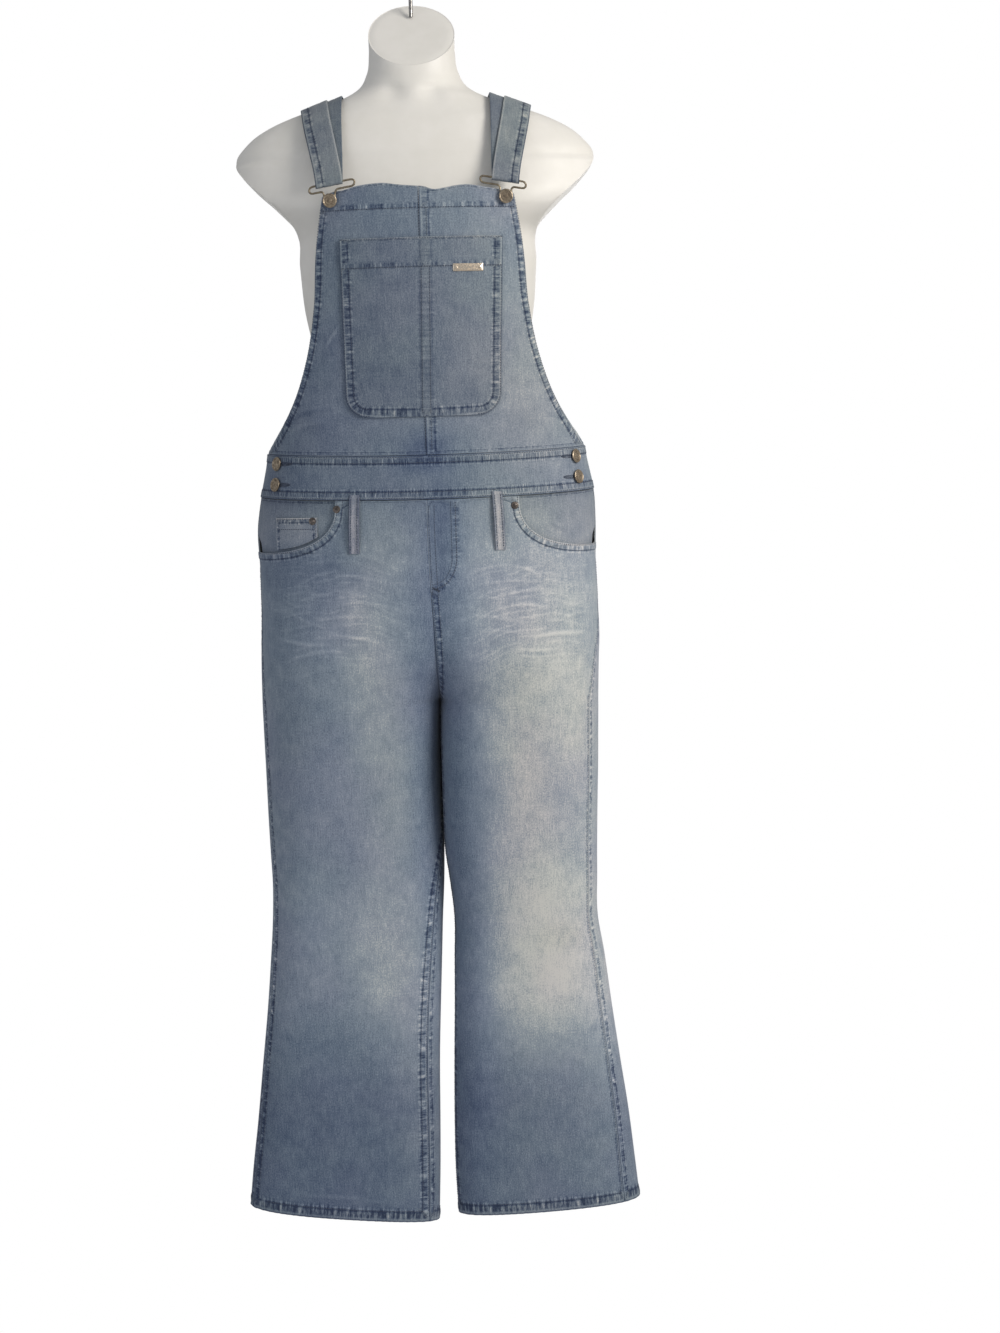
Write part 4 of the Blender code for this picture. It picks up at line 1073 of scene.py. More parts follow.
def hook():
    """The wire crook that stands on the sloping neck and bears at the origin."""
    thick, crook = 4.8, 22.0
    foot = FORM[-1, 0] + crook + 0.5 + thick / 2
    top = thick / 2 - crook
    stem = [(0.0, crook, z) for z in np.linspace(foot, top, 12)[:-1]]
    bend = [(0.0, crook * math.cos(a), top + crook * math.sin(a))
            for a in np.linspace(0.0, math.radians(205), 40)]
    piece = wire("wire_hook", stem + bend, thick / 2, hook_steel, sides=18)
    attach(piece, "root")
    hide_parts("form_hook")
    return piece


print("hook:", len(hook().data.polygons), "faces")

# %% [markdown]
# ## Bib, waistband and legs
#
# Each panel is laid out as rows of heights and columns of turns. Even rows
# would waste faces on the calm lower leg, so the rows lie closer over the
# hips, where the whiskers are, and at the hem. The seams of each panel are
# listed with the width of their stitched band and how hard they pucker.

# %% Bib
FRONT_BIB = np.array([
    #   z   half
    [-346, 112.5],
    [-361, 115.5],
    [-405, 122.5],
    [-477, 127.7],
    [-548,   141],
    [-596,   158],
    [-620,   170],
    [-644, 184.5],
    [-660, 194.5],
])
BACK_BIB = np.array([
    #   z  half
    [-430,   84],
    [-470,   90],
    [-520,  101],
    [-570,  119],
    [-610,  141],
    [-640,  166],
    [-656,  186],
], float)
BIB_EDGE = np.array([
    #   x       z  the wavy top edge of the bib
    [-116,   -365],
    [-110,   -356],
    [-100,   -351],
    [ -84, -348.5],
    [ -68, -344.5],
    [ -52, -342.5],
    [ -38,   -342],
    [ -20, -344.5],
    [   0, -346.5],
    [  10, -347.5],
    [  22,   -351],
    [  34, -349.5],
    [  48,   -347],
    [  62,   -346],
    [  80, -348.5],
    [  97, -351.5],
    [ 112,   -354],
    [ 123,   -364],
])
HEM_STITCH_Z = -372.0      # stitches of the bib's top hem
STRIP = 10.5               # width of the felled centre seam


def bib_edge_x(side, z):
    """x of the bib's armhole edge."""
    return CENTRE_X + side * smooth(z, FRONT_BIB)


def bib_top(x):
    """Height of the bib's top edge."""
    return smooth(x, BIB_EDGE)


def bib_grid(side, rows=150, cols=62):
    """x and z of a bib half: columns from the centre seam to the armhole, rows
    from the waist seam up to the wavy edge."""
    share = np.linspace(0.0, 1.0, rows)[:, None]
    across = np.linspace(0.0, 1.0, cols)[None, :]
    level = -660.0 + 312.0 * share
    start = RINGS[0, 1] + side * GAP / 2
    x = start + (bib_edge_x(side, level) - start) * across
    seam = BAND_TOP - dip(turn_at(side, x, level + 0 * x)) + GAP
    return x, seam + (bib_top(x) - seam) * share


def waist_line(level):
    """The line of a waist seam across the whole front, from its height at the
    sides."""
    u = np.linspace(-1.0, 1.0, 41)
    side = np.where(u >= 0, 1.0, -1.0)
    t = 0.5 * np.abs(u)
    return garment(side, t, level - dip(t))


edge_z = np.linspace(-655.0, -352.0, 30)
bib_top_line = front_line(BIB_EDGE[1:-1, 0], BIB_EDGE[1:-1, 1])
bib_hem_line = front_line(np.linspace(-112.0, 119.0, 24), HEM_STITCH_Z + HEM_LINE_UP)
strip_z = np.linspace(-660.0, -350.0, 20)
for side, word in SIDES:
    x, z = bib_grid(side)
    armhole = front_line(bib_edge_x(side, edge_z), edge_z)
    seams = [Seam(armhole, 8.0, 0.9, 0.5, 1.1, 0.1, 0.35),
             Seam(bib_hem_line, 4.5, 0.8, 0.0, 0.9, start=0.3, rows=1),
             Seam(bib_top_line, 2.2, 0.5, 0.0, 1.0, 0.3, 0.45),
             Seam(waist_line(BAND_TOP), 4.0, 0.35, 0.0, 1.6)]
    if side > 0:
        seams.append(Seam(front_line(RINGS[0, 1] + 0.4, strip_z), STRIP, 0.45, 0.6, 1.3, 0.2, 0.3))
    hem = 0.8 * step_up(HEM_STITCH_Z - 1.0, HEM_STITCH_Z + 1.5, z)
    wave = 1.1 * hem * ripple(x, 0 * x, 24.0, 2.0) * step_up(-6.0, 6.0, z - bib_top(x))
    panel(f"bib_half_{word}", f"bib_{word}", side, turn_at(side, x, z), z, denim, seams,
          shift=hem + wave)

# %% Back bib
level = np.linspace(-655.7, -430.0, 90)[:, None]
across = np.linspace(-1.0, 1.0, 100)[None, :]
x = CENTRE_X + smooth(level, BACK_BIB) * across
side = np.where(across >= 0, 1.0, -1.0) + 0 * x
t, z = 1.0 - turn_at(side, x, level + 0 * x), level + 0 * x
hem = 0.7 * step_up(-447.0, -445.0, z)
back_seams = [Seam(garment(np.full(90, s), t[:, k], z[:, k]), 9.0, 0.9, 0.5)
              for s, k in ((-1.0, 0), (1.0, -1))]
back_seams.append(Seam(garment(side[-6], t[-6], z[-6] - 3.0), 8.0, 0.7, 0.0))
panel("bib_back", "back_bib", side, t, z, denim, back_seams, shift=hem)

# %% Waistband
u = np.linspace(-1.0, 1.0, 190)
band_side = np.where(u >= 0, 1.0, -1.0)
for name, node, t in (("band_front", "waistband_front", 0.5 * np.abs(u)),
                      ("band_back", "waistband_back", 1 - 0.5 * np.abs(u))):
    share = np.linspace(0.0, 1.0, 26)[:, None]
    z = BAND_LOW + GAP + (BAND_TOP - BAND_LOW - GAP) * share - dip(t)
    turn = t + 0 * z
    away = GAP / 2 if node == "waistband_back" else -GAP / 2
    turn = np.where(np.abs(u) == 1.0, inset(band_side, turn, z, away), turn)
    seams = [Seam(garment(band_side, t, z[-1]), 9.5, 0.75, 0.6, 3.2, 0.25, 0.1),
             Seam(garment(band_side, t, z[0]), 9.5, 0.75, 0.6, 3.2, 0.25, 0.1)]
    panel(name, node, band_side, turn, z, denim_band, seams, shift=0.35)


# %% Rows and columns of the legs
def lean_to_hem(side, t, z):
    """Rows below HEM_FADE lean until the last one follows the hem's slope."""
    outer, inner = HEM_ENDS[side]
    weight = np.clip((z - HEM_FADE) / (HEM_LEVEL - HEM_FADE), 0.0, 1.0)
    level = outer + (inner - outer) * (0.5 + 0.5 * np.cos(2 * np.pi * t))
    return z + weight * (level - HEM_LEVEL)


def scoop_across(step):
    """How far out the pocket mouth is, 0 to 1, when it is `step` of its way
    down: a quarter of a squared-off circle."""
    return 1 - (1 - step ** SCOOP_POWER) ** (1 / SCOOP_POWER)


def leg_levels(start, hips, shins):
    """Row heights below `start`: close over the hips, wide on the leg, and
    close again in the hem."""
    return np.concatenate([np.linspace(start, THIGH_Z, hips)[:-1],
                           np.linspace(THIGH_Z, HEM_EDGE + 2.0, shins)[:-1],
                           np.linspace(HEM_EDGE + 2.0, HEM_LEVEL, 9)])


def mouth_curve(side, out, slope=0.0):
    """x and z of the pocket mouth and how far down it is (0 to 1), where `out`
    is the share of its width: from the waist seam out to the side. `slope`
    lowers each point a little more than the one before."""
    step = (1 - (1 - out) ** SCOOP_POWER) ** (1 / SCOOP_POWER)
    z = LEG_TOP - SCOOP_DEEP * step - slope * np.arange(len(step))
    start_x = CENTRE_X + side * SCOOP_TOP_X
    return start_x + (garment(side, 0.5, z)[:, 0] - start_x) * out, z, step


def hem_relief(side, t, z):
    """The hem stands proud, and its twist shows as slanting ridges."""
    inside = step_up(HEM_EDGE + 1.5, HEM_EDGE - 1.5, z)
    x = garment(side, t, z)[..., 0]
    rope = np.sin(x / 1.35 + (z - HEM_LEVEL) / 2.6 + 1.2 * np.sin(x / 11.0))
    return inside * (0.5 + 0.35 * rope)


def leg_grid(side, front, cols, hips, shins):
    """Turn and height of a leg panel's points, leaned to the hem. The front
    panel's first rows end on the pocket mouth."""
    if front:
        mouth_x, mouth, step = mouth_curve(side, np.linspace(0.0, 1.0, 44) ** 1.5, slope=0.02)
        z = np.concatenate([mouth, leg_levels(mouth[-1] - 1.0, hips, shins)])
        outseam, inseam = seam_turns(side, z)
        last = outseam.copy()
        last[:len(step) - 1] = turn_at(side, mouth_x, mouth)[:-1]
        first, last = inset(side, inseam, z, GAP / 2), inset(side, last, z, -GAP / 2)
        fade = np.clip((z - mouth[-1]) / (LEG_TOP - mouth[-1]), 0.0, 1.0)
    else:
        z = np.concatenate([[LEG_TOP], leg_levels(LEG_TOP - 2.0, hips, shins)])
        outseam, inseam = seam_turns(side, z)
        first, last = inset(side, outseam, z, GAP / 2), inset(side, 1 + inseam, z, -GAP / 2)
        fade = 0 * z
    t = first[:, None] + (last - first)[:, None] * np.linspace(0.0, 1.0, cols)
    level = z[:, None] + 0 * t
    return t, level, lean_to_hem(side, t, level) - dip(t) * fade[:, None]


print("front leg grid:", leg_grid(1, True, 96, 104, 172)[0].shape)

# %% Leg panels
# the fly's row of stitches runs down, then curves in to the centre front
FLY_X, FLY_END_X, FLY_BEND_Z, FLY_CURVE = 36.6, 8.0, -784.0, 38.0
fly_down = np.linspace(-718.0, FLY_BEND_Z, 14)
fly_turn = np.linspace(0.0, np.pi / 2, 16)[1:]
fly_x = np.concatenate([FLY_X + 0 * fly_down, FLY_END_X + (FLY_X - FLY_END_X) * np.cos(fly_turn)])
fly_z = np.concatenate([fly_down, FLY_BEND_Z - FLY_CURVE * np.sin(fly_turn)])
fly_line = front_line(np.append(FLY_X, fly_x), np.append(-700.0, fly_z))
leg_rows = np.linspace(HIP_Z, HEM_LEVEL, 60)
HIP_SIDES = {}
for side, word in SIDES:
    out_t, in_t = seam_turns(side, leg_rows)
    outseam = garment(side, out_t, lean_to_hem(side, out_t, leg_rows))
    below = leg_rows < CROTCH_Z
    inseam = garment(side, in_t[below], lean_to_hem(side, 0.0, leg_rows[below]))
    rise_rows = np.linspace(BAND_LOW - 7.0, CROTCH_Z, 26)
    front_rise, back_rise = (garment(side, t, rise_rows) for t in (0.0, 1.0))
    hip_side = HIP_SIDES[side] = garment(side, 0.5, np.linspace(BAND_LOW, HIP_Z, 10))
    mouth_x, mouth_z, step = mouth_curve(side, np.linspace(0.0, 1.0, 40))
    mouth_t = turn_at(side, mouth_x, mouth_z)
    mouth_line = garment(side, mouth_t, mouth_z - dip(mouth_t) * (1 - step))

    t, level, z = leg_grid(side, True, 96, 104, 172)
    bottom = garment(side, t[-1], z[-1])
    seams = [Seam(outseam, 6.0 if side < 0 else 4.0, 1.0 if side < 0 else 0.4, 0.35, 1.2),
             Seam(inseam, 10.0, 0.9, 0.3, 0.9),
             Seam(front_rise[:12], 2.0, 0.35, 0.0, 1.0, 0.0, 0.2),
             Seam(front_rise[12:], 7.0, 0.9 if side > 0 else 0.0, 0.2, 0.8),
             Seam(mouth_line, 8.5, 0.6, 0.7, 1.2, 0.2, 0.75),
             Seam(waist_line(BAND_LOW), 3.0, 0.35, 0.0, 2.0),
             Seam(bottom, HEM_HIGH, 1.0, 0.0, 1.3, 0.6, 0.3)]
    if side > 0:
        seams.append(Seam(fly_line, 6.0, 0.6, 0.3, 1.5, start=0.3, rows=1))
    panel(f"leg_front_{word}", f"front_leg_{word}", side, t, z, denim, seams,
          shift=hem_relief(side, t, level),
          ply=np.where(level < HEM_EDGE + 0.5, HEM_PLY, CLOTH))

    t, level, z = leg_grid(side, False, 90, 66, 150)
    bottom = garment(side, t[-1], z[-1])
    waist = garment(side, np.linspace(0.5, 1.0, 30), BAND_LOW)
    seams = [Seam(outseam, 6.0, 0.9, 0.2), Seam(inseam, 6.0, 0.8, 0.2),
             Seam(back_rise, 9.0, 0.7, 0.45), Seam(hip_side, 6.0, 0.7, 0.3),
             Seam(waist, 3.0, 0.35, 0.0, 2.0), Seam(bottom, HEM_HIGH, 1.0, 0.0, 1.3, 0.6, 0.3)]
    panel(f"leg_back_{word}", f"back_leg_{word}", side, t, z, denim, seams,
          shift=hem_relief(side, t, level),
          ply=np.where(level < HEM_EDGE + 0.5, HEM_PLY, CLOTH))

# %% [markdown]
# ## Pockets and belt loops
#
# The bib pocket is a patch with round lower corners. Trimming a square patch
# would leave steps, so each row's ends follow the corner's arc. The front
# pockets show only their facing, set back behind the scooped mouth, and the
# small coin pocket lies on the left one.

# %% Bib pocket
bend = np.radians(np.concatenate([np.linspace(0.0, 70.0, 22), np.linspace(73.0, 88.0, 8)]))
z = np.concatenate([np.linspace(POCKET_TOP, POCKET_LOW + POCKET_CORNER, 90)[:-1],
                    POCKET_LOW + POCKET_CORNER * (1 - np.sin(bend))])
drop = (POCKET_TOP - z) / (POCKET_TOP - POCKET_LOW)
middle, half = 5.5 - 3.0 * drop, 96.0 - 4.0 * drop
half[89:] -= POCKET_CORNER * (1 - np.cos(bend))
x = middle[:, None] + half[:, None] * np.linspace(-1.0, 1.0, 104)
z = z[:, None] + 0 * x
pocket_side = side_of(x)
around_x = np.concatenate([x[:, 0], x[::-1, -1]])
around_z = np.concatenate([z[:, 0], z[::-1, 0]])
strip_rows = np.linspace(POCKET_TOP, POCKET_LOW, 24)
POCKET_STITCH_Z = -441.0


def strip_x(z):
    """x of the middle of the pocket's felled strip, which leans a little."""
    return 10.6 - 4.4 * (POCKET_TOP - z) / (POCKET_TOP - POCKET_LOW)


pocket_seams = [
    Seam(front_line(around_x, around_z), 9.5, 0.75, 0.45, 1.15, 0.1, 0.35),
    Seam(front_line(np.linspace(-88.0, 99.0, 30), POCKET_STITCH_Z + HEM_LINE_UP), 4.5, 0.7, 0.0,
         1.1, start=0.3, rows=1),
    Seam(front_line(np.linspace(-90.0, 101.0, 30), POCKET_TOP), 3.0, 0.4, 0.3, 1.2, 0.2, 0.5),
    Seam(front_line(strip_x(strip_rows), strip_rows), 6.4, 0.22, 0.55, 1.3, 0.2, 0.1, start=0.5)]
hem = 0.7 * step_up(POCKET_STITCH_Z - 1.0, POCKET_STITCH_Z + 1.5, z)
panel("pocket_bib", "bib_pocket", pocket_side, turn_at(pocket_side, x, z), z, denim_pocket,
      pocket_seams, shift=POCKET_OUT + hem)


# %% Front pocket facings and the coin pocket
def mouth_x_at(side, z):
    """x of the pocket mouth at height z."""
    step = np.clip((LEG_TOP - z) / SCOOP_DEEP, 0.0, 0.9999)
    start_x = CENTRE_X + side * SCOOP_TOP_X
    return start_x + (garment(side, 0.5, z)[..., 0] - start_x) * scoop_across(step)


FACING_UNDER = 8.0         # how far the facing runs on behind the mouth
for side, word in SIDES:
    share = np.linspace(0.0, 1.0, 44)
    z = LEG_TOP - (SCOOP_DEEP + FACING_UNDER) * share
    edge_x = (mouth_x_at(side, np.maximum(z + FACING_UNDER, LEG_TOP - SCOOP_DEEP))
              - side * FACING_UNDER)
    first = turn_at(side, edge_x, z)
    last = inset(side, np.full(len(z), 0.5), z, -GAP / 2)
    t = first[:, None] + (last - first)[:, None] * np.linspace(0.0, 1.0, 60)
    level = z[:, None] - dip(t) * (1 - share[:, None])
    seams = [Seam(waist_line(BAND_LOW), 3.0, 0.4, 0.0, 2.0), Seam(HIP_SIDES[side], 5.0, 0.5, 0.2)]
    flush = (step_up(0.80, 1.0, np.linspace(0.0, 1.0, 60))[None, :]
             * (1 - step_up(0.55, 0.8, share))[:, None])
    panel(f"facing_{word}", f"pocket_facing_{word}", side, t, level, denim_pocket, seams,
          shift=-(FACING_IN + 2.5 * share ** 2)[:, None] * (1 - 0.85 * flush))

x = np.linspace(-182.0, -130.5, 40)
reach = np.linspace(0.0, SCOOP_DEEP * 0.9999, 400)
mouth = mouth_x_at(-1, LEG_TOP - reach)
low = LEG_TOP - np.interp(-x, -mouth, reach) + 3.0
share = np.linspace(0.0, 1.0, 26)[:, None]
z = -733.0 + (low + 733.0) * share
x = x + 0 * z
coin_seams = [Seam(front_line(x[0], z[0]), 6.0, 0.9, 0.5, 1.6, 0.2, 1.1),
              Seam(front_line(x[:, -1], z[:, -1]), 5.0, 0.8, 0.3, 1.2, 0.0, 0.4),
              Seam(front_line(x[:, 0], z[:, 0]), 5.0, 0.8, 0.3, 1.2, 0.0, 0.4)]
panel("pocket_coin", "coin_pocket", -1, turn_at(-1, x, z), z, denim_pocket, coin_seams,
      shift=COIN_OUT)


# %% Belt loops
def loop_middle(side, share):
    """x, z and height above the cloth of a belt loop's middle line, `share` of
    its way down: it arches off the waistband and is sewn down at both ends."""
    x = CENTRE_X / 2 + side * (LOOP_OUT + 2.5 * share)
    return x, BAND_LOW + 1.5 - LOOP_HIGH * share, GAP + CLOTH + 3.0 * np.sin(np.pi * share) ** 0.8


for side, word in SIDES:
    for where, sign in (("front", 1), ("back", -1)):
        middle, level, arch = loop_middle(side, np.linspace(0.0, 1.0, 60))
        across = np.linspace(-1.0, 1.0, 17)
        x = middle[:, None] + LOOP_WIDE / 2 * across
        z = level[:, None] + 0 * x
        t = turn_at(side, x, z)
        t = t if sign > 0 else 1 - t
        edges = [Seam(garment(side, t[:, k], z[:, k]), 4.4, 0.5, 0.0, 1.5, 0.0, -0.8, rows=1)
                 for k in (0, -1)]
        edges.append(Seam(garment(side, t[:, 7], z[:, 7]), 1.0, 0.0, 0.0, 1.0, 0.0, 0.25))
        puff = (0.45 * np.exp(-((np.abs(across) - 0.78) / 0.16) ** 2)
                - 0.35 * np.exp(-(across / 0.2) ** 2))
        panel(f"loop_{where}_{word}", f"belt_loop_{where}_{word}", side, t, z, denim_loop, edges,
              shift=arch[:, None] + puff)
print("pockets and loops done")

# %% [markdown]
# ## Straps and hardware
#
# A strap is one long band: up from the back bib, over the shoulder, down to
# the buckle, round its upper bar and back over the shoulder on top of itself.
# It could be two pieces, but the fold round the bar shows, so one shell
# follows the whole path and the relief is added across it.

# %% Strap path
STRAP = np.array([
    #     y       z  under_x  upper_x  drop
    [-102.4, -342.7,     104,     104,    0],
    [ -91.5,   -322,     104,     107,  0.3],
    [   -76,   -291,   104.5,     113,  0.8],
    [ -58.5, -262.5,     105,   118.5,    1],
    [   -44, -247.5,     105,     121,    1],
    [   -26, -237.4,     105,     123,    1],
    [     0, -233.9,     105,   123.5,    1],
    [    26, -237.4,     103,   121.5,    1],
    [    46, -248.5,     100,     117,    1],
    [    61,   -265,      96,     110,  0.8],
    [    76,   -292,      90,     101,  0.5],
    [    88,   -330,      82,      90,  0.2],
    [    95,   -380,      71,      78,    0],
    [  96.5,   -462,      58,      62,    0],
])


def strap_at(step):
    """The strap table's columns at `step` of the way from buckle to back bib,
    its rows taken as evenly spaced."""
    table = np.column_stack([np.linspace(0.0, 1.0, len(STRAP)), STRAP])
    return [smooth(step, table, k) for k in range(1, 6)]


def strap_row(step, upper, lift):
    """Middle points of a strap at `step` of the way, lifted off the shoulder:
    x, y, z, drop and tilt."""
    y, z, under_x, upper_x, drop = strap_at(step)
    ahead, behind = strap_at(step + 1e-3), strap_at(step - 1e-3)
    rise, run = ahead[1] - behind[1], ahead[0] - behind[0]
    long = np.hypot(rise, run)
    return np.stack([upper_x if upper else under_x, y - rise / long * lift, z + run / long * lift,
                     drop, np.clip(1 - step / 0.16, 0.0, 1.0)], axis=-1)


def strap_middle():
    """The whole path and the buckle bar's place: under layer, fold, upper."""
    bend = WIRE / 2 + GAP + STRAP_PLY / 2
    down = np.linspace(1.0, 0.002, 130)
    up = np.concatenate([np.linspace(0.002, 0.2, 40)[:-1], np.linspace(0.2, UPPER_PLY_ENDS, 100)])
    apart = STRAP_PLY + 0.5 + (2 * bend - STRAP_PLY - 0.5) * np.clip(1 - up / 0.2, 0, 1) ** 2
    under = strap_row(down, False, STRAP_PLY / 2 + 0 * down)
    over = strap_row(up, True, STRAP_PLY / 2 + apart)
    out = over[0, 1:3] - under[-1, 1:3]
    out /= np.linalg.norm(out)
    fall = np.array([out[1], -out[0]])
    fall = fall if fall[1] < 0 else -fall
    bar = (over[0, 1:3] + under[-1, 1:3]) / 2
    turn = np.linspace(0.0, np.pi, 14)[1:-1, None]
    fold = bar + bend * (-out * np.cos(turn) + fall * np.sin(turn))
    fold = np.column_stack([np.full(len(fold), under[-1, 0]), fold,
                            np.zeros(len(fold)), np.ones(len(fold))])
    return np.vstack([under, fold, over]), bar


STRAP_MIDDLE, BAR = strap_middle()
BUCKLE_X = STRAP[0, 2]     # how far out the buckle's middle is


def strap_grid(side, across):
    """Points of a strap's middle surface and its normals, at the distances
    `across` (mm) outwards from its middle line. One more column gives even a
    single line a direction across, and is dropped at the end."""
    out = STRAP_MIDDLE[:, 0:1] + np.append(across, across[-1] + 1.0)
    z = (STRAP_MIDDLE[:, 2:3] - SHOULDER_SLOPE * STRAP_MIDDLE[:, 3:4] * (out - SHOULDER_X)
         - BUCKLE_TILT * STRAP_MIDDLE[:, 4:5] * (out - BUCKLE_X))
    y = STRAP_MIDDLE[:, 1:2] + 0 * out
    points = np.stack([CENTRE_X + side * out, y, z], axis=-1)
    normal = np.cross(np.gradient(points, axis=0), np.gradient(points, axis=1))
    normal /= np.linalg.norm(normal, axis=-1, keepdims=True)
    return points[:, :-1], normal[:, :-1]


print("strap path:", len(STRAP_MIDDLE), "points, buckle bar at", BAR.round(1))


# %% Strap shells
def strap(side, word):
    """A strap shell whose two faces are eased towards its edges, with edge
    seams and a soft waver across."""
    across = STRAP_WIDE / 2 * np.sin(np.linspace(-1.0, 1.0, 25) * 1.35) / math.sin(1.35)
    points, normal = strap_grid(side, across)
    middle = points[:, len(across) // 2]
    length = np.linalg.norm(np.diff(middle, axis=0, prepend=middle[:1]), axis=-1).cumsum()
    edge_gap = STRAP_WIDE / 2 - np.abs(across)
    ease = np.minimum(edge_gap / 1.1, 1.0)
    half = STRAP_PLY / 2 * (0.45 + 0.55 * np.sqrt(ease * (2 - ease)))
    row = edge_gap[None, :] + 0 * points[..., 0]
    outward = across[None, :] + 0 * row
    over = step_up(len(row) * 0.47, len(row) * 0.5, np.arange(len(row)))[:, None]
    away = length[:, None] + 0 * points[..., 0]
    waver = 0.12 * ripple(away, row, 8.0, 1.0 + side) * np.exp(-((row - 8.0) / 2.5) ** 2)
    rise = half + (waver - 0.3 * np.exp(-((row - 9.0) / 0.9) ** 2))
    front, back = (points + s * normal * rise[..., None] for s in (1.0, -1.0))
    band = np.clip((STRAP_WIDE / 2 - outward) / 8.5, 0.0, 4.0)
    seam = np.stack([band, 0.6 * away / 100.0 + 3.0 * side, 0.75 + 0 * row], axis=-1)
    inner_edge = 0.5 * np.exp(-((outward + 15.2) / 1.0) ** 2)
    wear = np.stack([0.44 - 0.10 * (1 - over) + 0.03 * (side > 0) + 0 * row, 0.45 + 0 * row,
                     (2.2 * over - 0.5) * inner_edge], axis=-1)
    uv = np.stack([points[..., 0], -away], axis=-1) / 1000.0
    piece = make_piece(f"strap_{word}_band", np.stack([front, back]), shell_faces(*row.shape),
                       denim_strap, uv=np.stack([uv, uv + 0.4]),
                       values={"seam": np.stack([seam, seam]), "wear": np.stack([wear, wear])},
                       sharp=45)
    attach(piece, "root")
    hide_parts(f"strap_{word}")
    return piece


for side, word in SIDES:
    print(word, "strap:", len(strap(side, word).data.polygons), "faces")

# %% Buckles
BUCKLE_DEEP = 20.0         # from the bar down to the middle of the bib button


def buckle_shape():
    """Closed wire outline: a long slot whose lower bar drops into a narrow
    loop that hooks the bib button. Inwards and upwards from the bar."""
    slot_end, loop, low, deep = 4.0, 6.4, -8.0, -BUCKLE_DEEP
    inner, outer = 26.0, -20.0
    quarter = np.linspace(np.pi / 2, -np.pi / 2, 9)
    right = [(inner + slot_end * math.cos(a), low / 2 + slot_end * math.sin(a)) for a in quarter]
    sweep = np.linspace(0.0, -np.pi, 17)
    bottom = [(loop * math.cos(a), deep + loop * math.sin(a)) for a in sweep]
    left = [(outer - slot_end * math.cos(a), low / 2 - slot_end * math.sin(a)) for a in quarter]
    return np.array(right + [(16.0, low), (loop + 2.5, low), (loop + 0.5, low - 2.2),
                             (loop, low - 6.0)]
                    + bottom + [(-loop, low - 6.0), (-loop - 0.5, low - 2.2), (-loop - 2.5, low)]
                    + left + [(-8.0, 0.0), (8.0, 0.0)])


shape = buckle_shape()
for side, word in SIDES:
    tilt = BUCKLE_TILT * np.clip((shape[:, 1] + BUCKLE_DEEP) / 12.0, 0.0, 1.0)
    path = np.stack([CENTRE_X + side * (BUCKLE_X - shape[:, 0]), np.full(len(shape), BAR[0]),
                     BAR[1] + shape[:, 1] + tilt * shape[:, 0]], axis=-1)
    piece = wire(f"wire_buckle_{word}", rounded(path, 180, loop=True), WIRE / 2, brass, loop=True)
    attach(piece, "root")
    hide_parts(f"buckle_{word}")
print("buckles:", len(piece.data.polygons), "faces each")


# %% Buttons and rivets
def lathe(name, base, axis, profile, look, sides=48):
    """(height, radius) pairs turned about `axis` from `base`; a pair with no
    radius closes the piece."""
    axis = np.asarray(axis, float) / np.linalg.norm(axis)
    first = np.cross(axis, [0.0, 0.0, 1.0])
    first /= np.linalg.norm(first)
    second = np.cross(axis, first)
    turn = np.arange(sides) * 2 * np.pi / sides
    spoke = np.cos(turn)[:, None] * first + np.sin(turn)[:, None] * second
    rings = np.stack([base + axis * h + spoke * r for h, r in profile])
    piece = make_piece(name, rings, grid_faces(*rings.shape[:2], around=True), look)
    closed(piece, 0.004)
    piece.data.set_sharp_from_angle(angle=math.radians(32))
    return piece


def button_profile(foot, shank, r):
    """A jeans button: shank, dished back, rolled rim and a shallow face with
    one raised ring and a low boss."""
    return [(0.0, 0.0), (0.0, shank), (foot, shank), (foot, r - 0.9), (foot + 0.3, r - 0.25),
            (foot + 0.8, r), (foot + 1.4, r - 0.1), (foot + 1.9, r - 0.6), (foot + 2.05, r - 1.2),
            (foot + 1.85, r - 1.8), (foot + 1.45, r - 2.2), (foot + 1.4, r - 3.2),
            (foot + 1.7, r - 3.5), (foot + 1.7, r - 4.0), (foot + 1.4, r - 4.3), (foot + 1.4, 2.6),
            (foot + 1.75, 2.2), (foot + 1.9, 1.2), (foot + 1.95, 0.0)]


button_z = BAR[1] - BUCKLE_DEEP
for side, word in SIDES:
    face = BAR[0] - WIRE / 2 - 0.6
    near_x, near_z = CENTRE_X + side * (BUCKLE_X - 3.2), button_z - 3.2
    foot = garment(side, turn_at(side, near_x, near_z), near_z)[1]
    base = np.array([CENTRE_X + side * BUCKLE_X, foot - 0.3, button_z])
    piece = lathe(f"button_bib_{word}", base, (0, -1, 0),
                  button_profile(base[1] - face, 3.0, BUTTON_R), button_metal)
    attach(piece, "root")
    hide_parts(f"bib_button_{word}")
    for place, out, z in SIDE_BUTTONS:
        t = turn_at(side, CENTRE_X + side * out, z)
        base, axis = garment(side, t, z), garment_normal(side, t, z)
        piece = lathe(f"button_{place}_{word}", base + axis * 1.0, axis,
                      button_profile(1.0, 3.2, BUTTON_R), button_metal)
        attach(piece, "root")
        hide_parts(f"side_button_{place}_{word}")
RIVET_PROFILE = [(0.0, 0.0), (0.0, RIVET_R), (0.35, RIVET_R), (0.8, RIVET_R - 0.35),
                 (1.0, RIVET_R - 0.9), (0.9, RIVET_R - 1.6), (1.0, RIVET_R - 2.2),
                 (1.5, RIVET_R - 2.6), (1.75, RIVET_R - 3.4), (1.8, 0.0)]
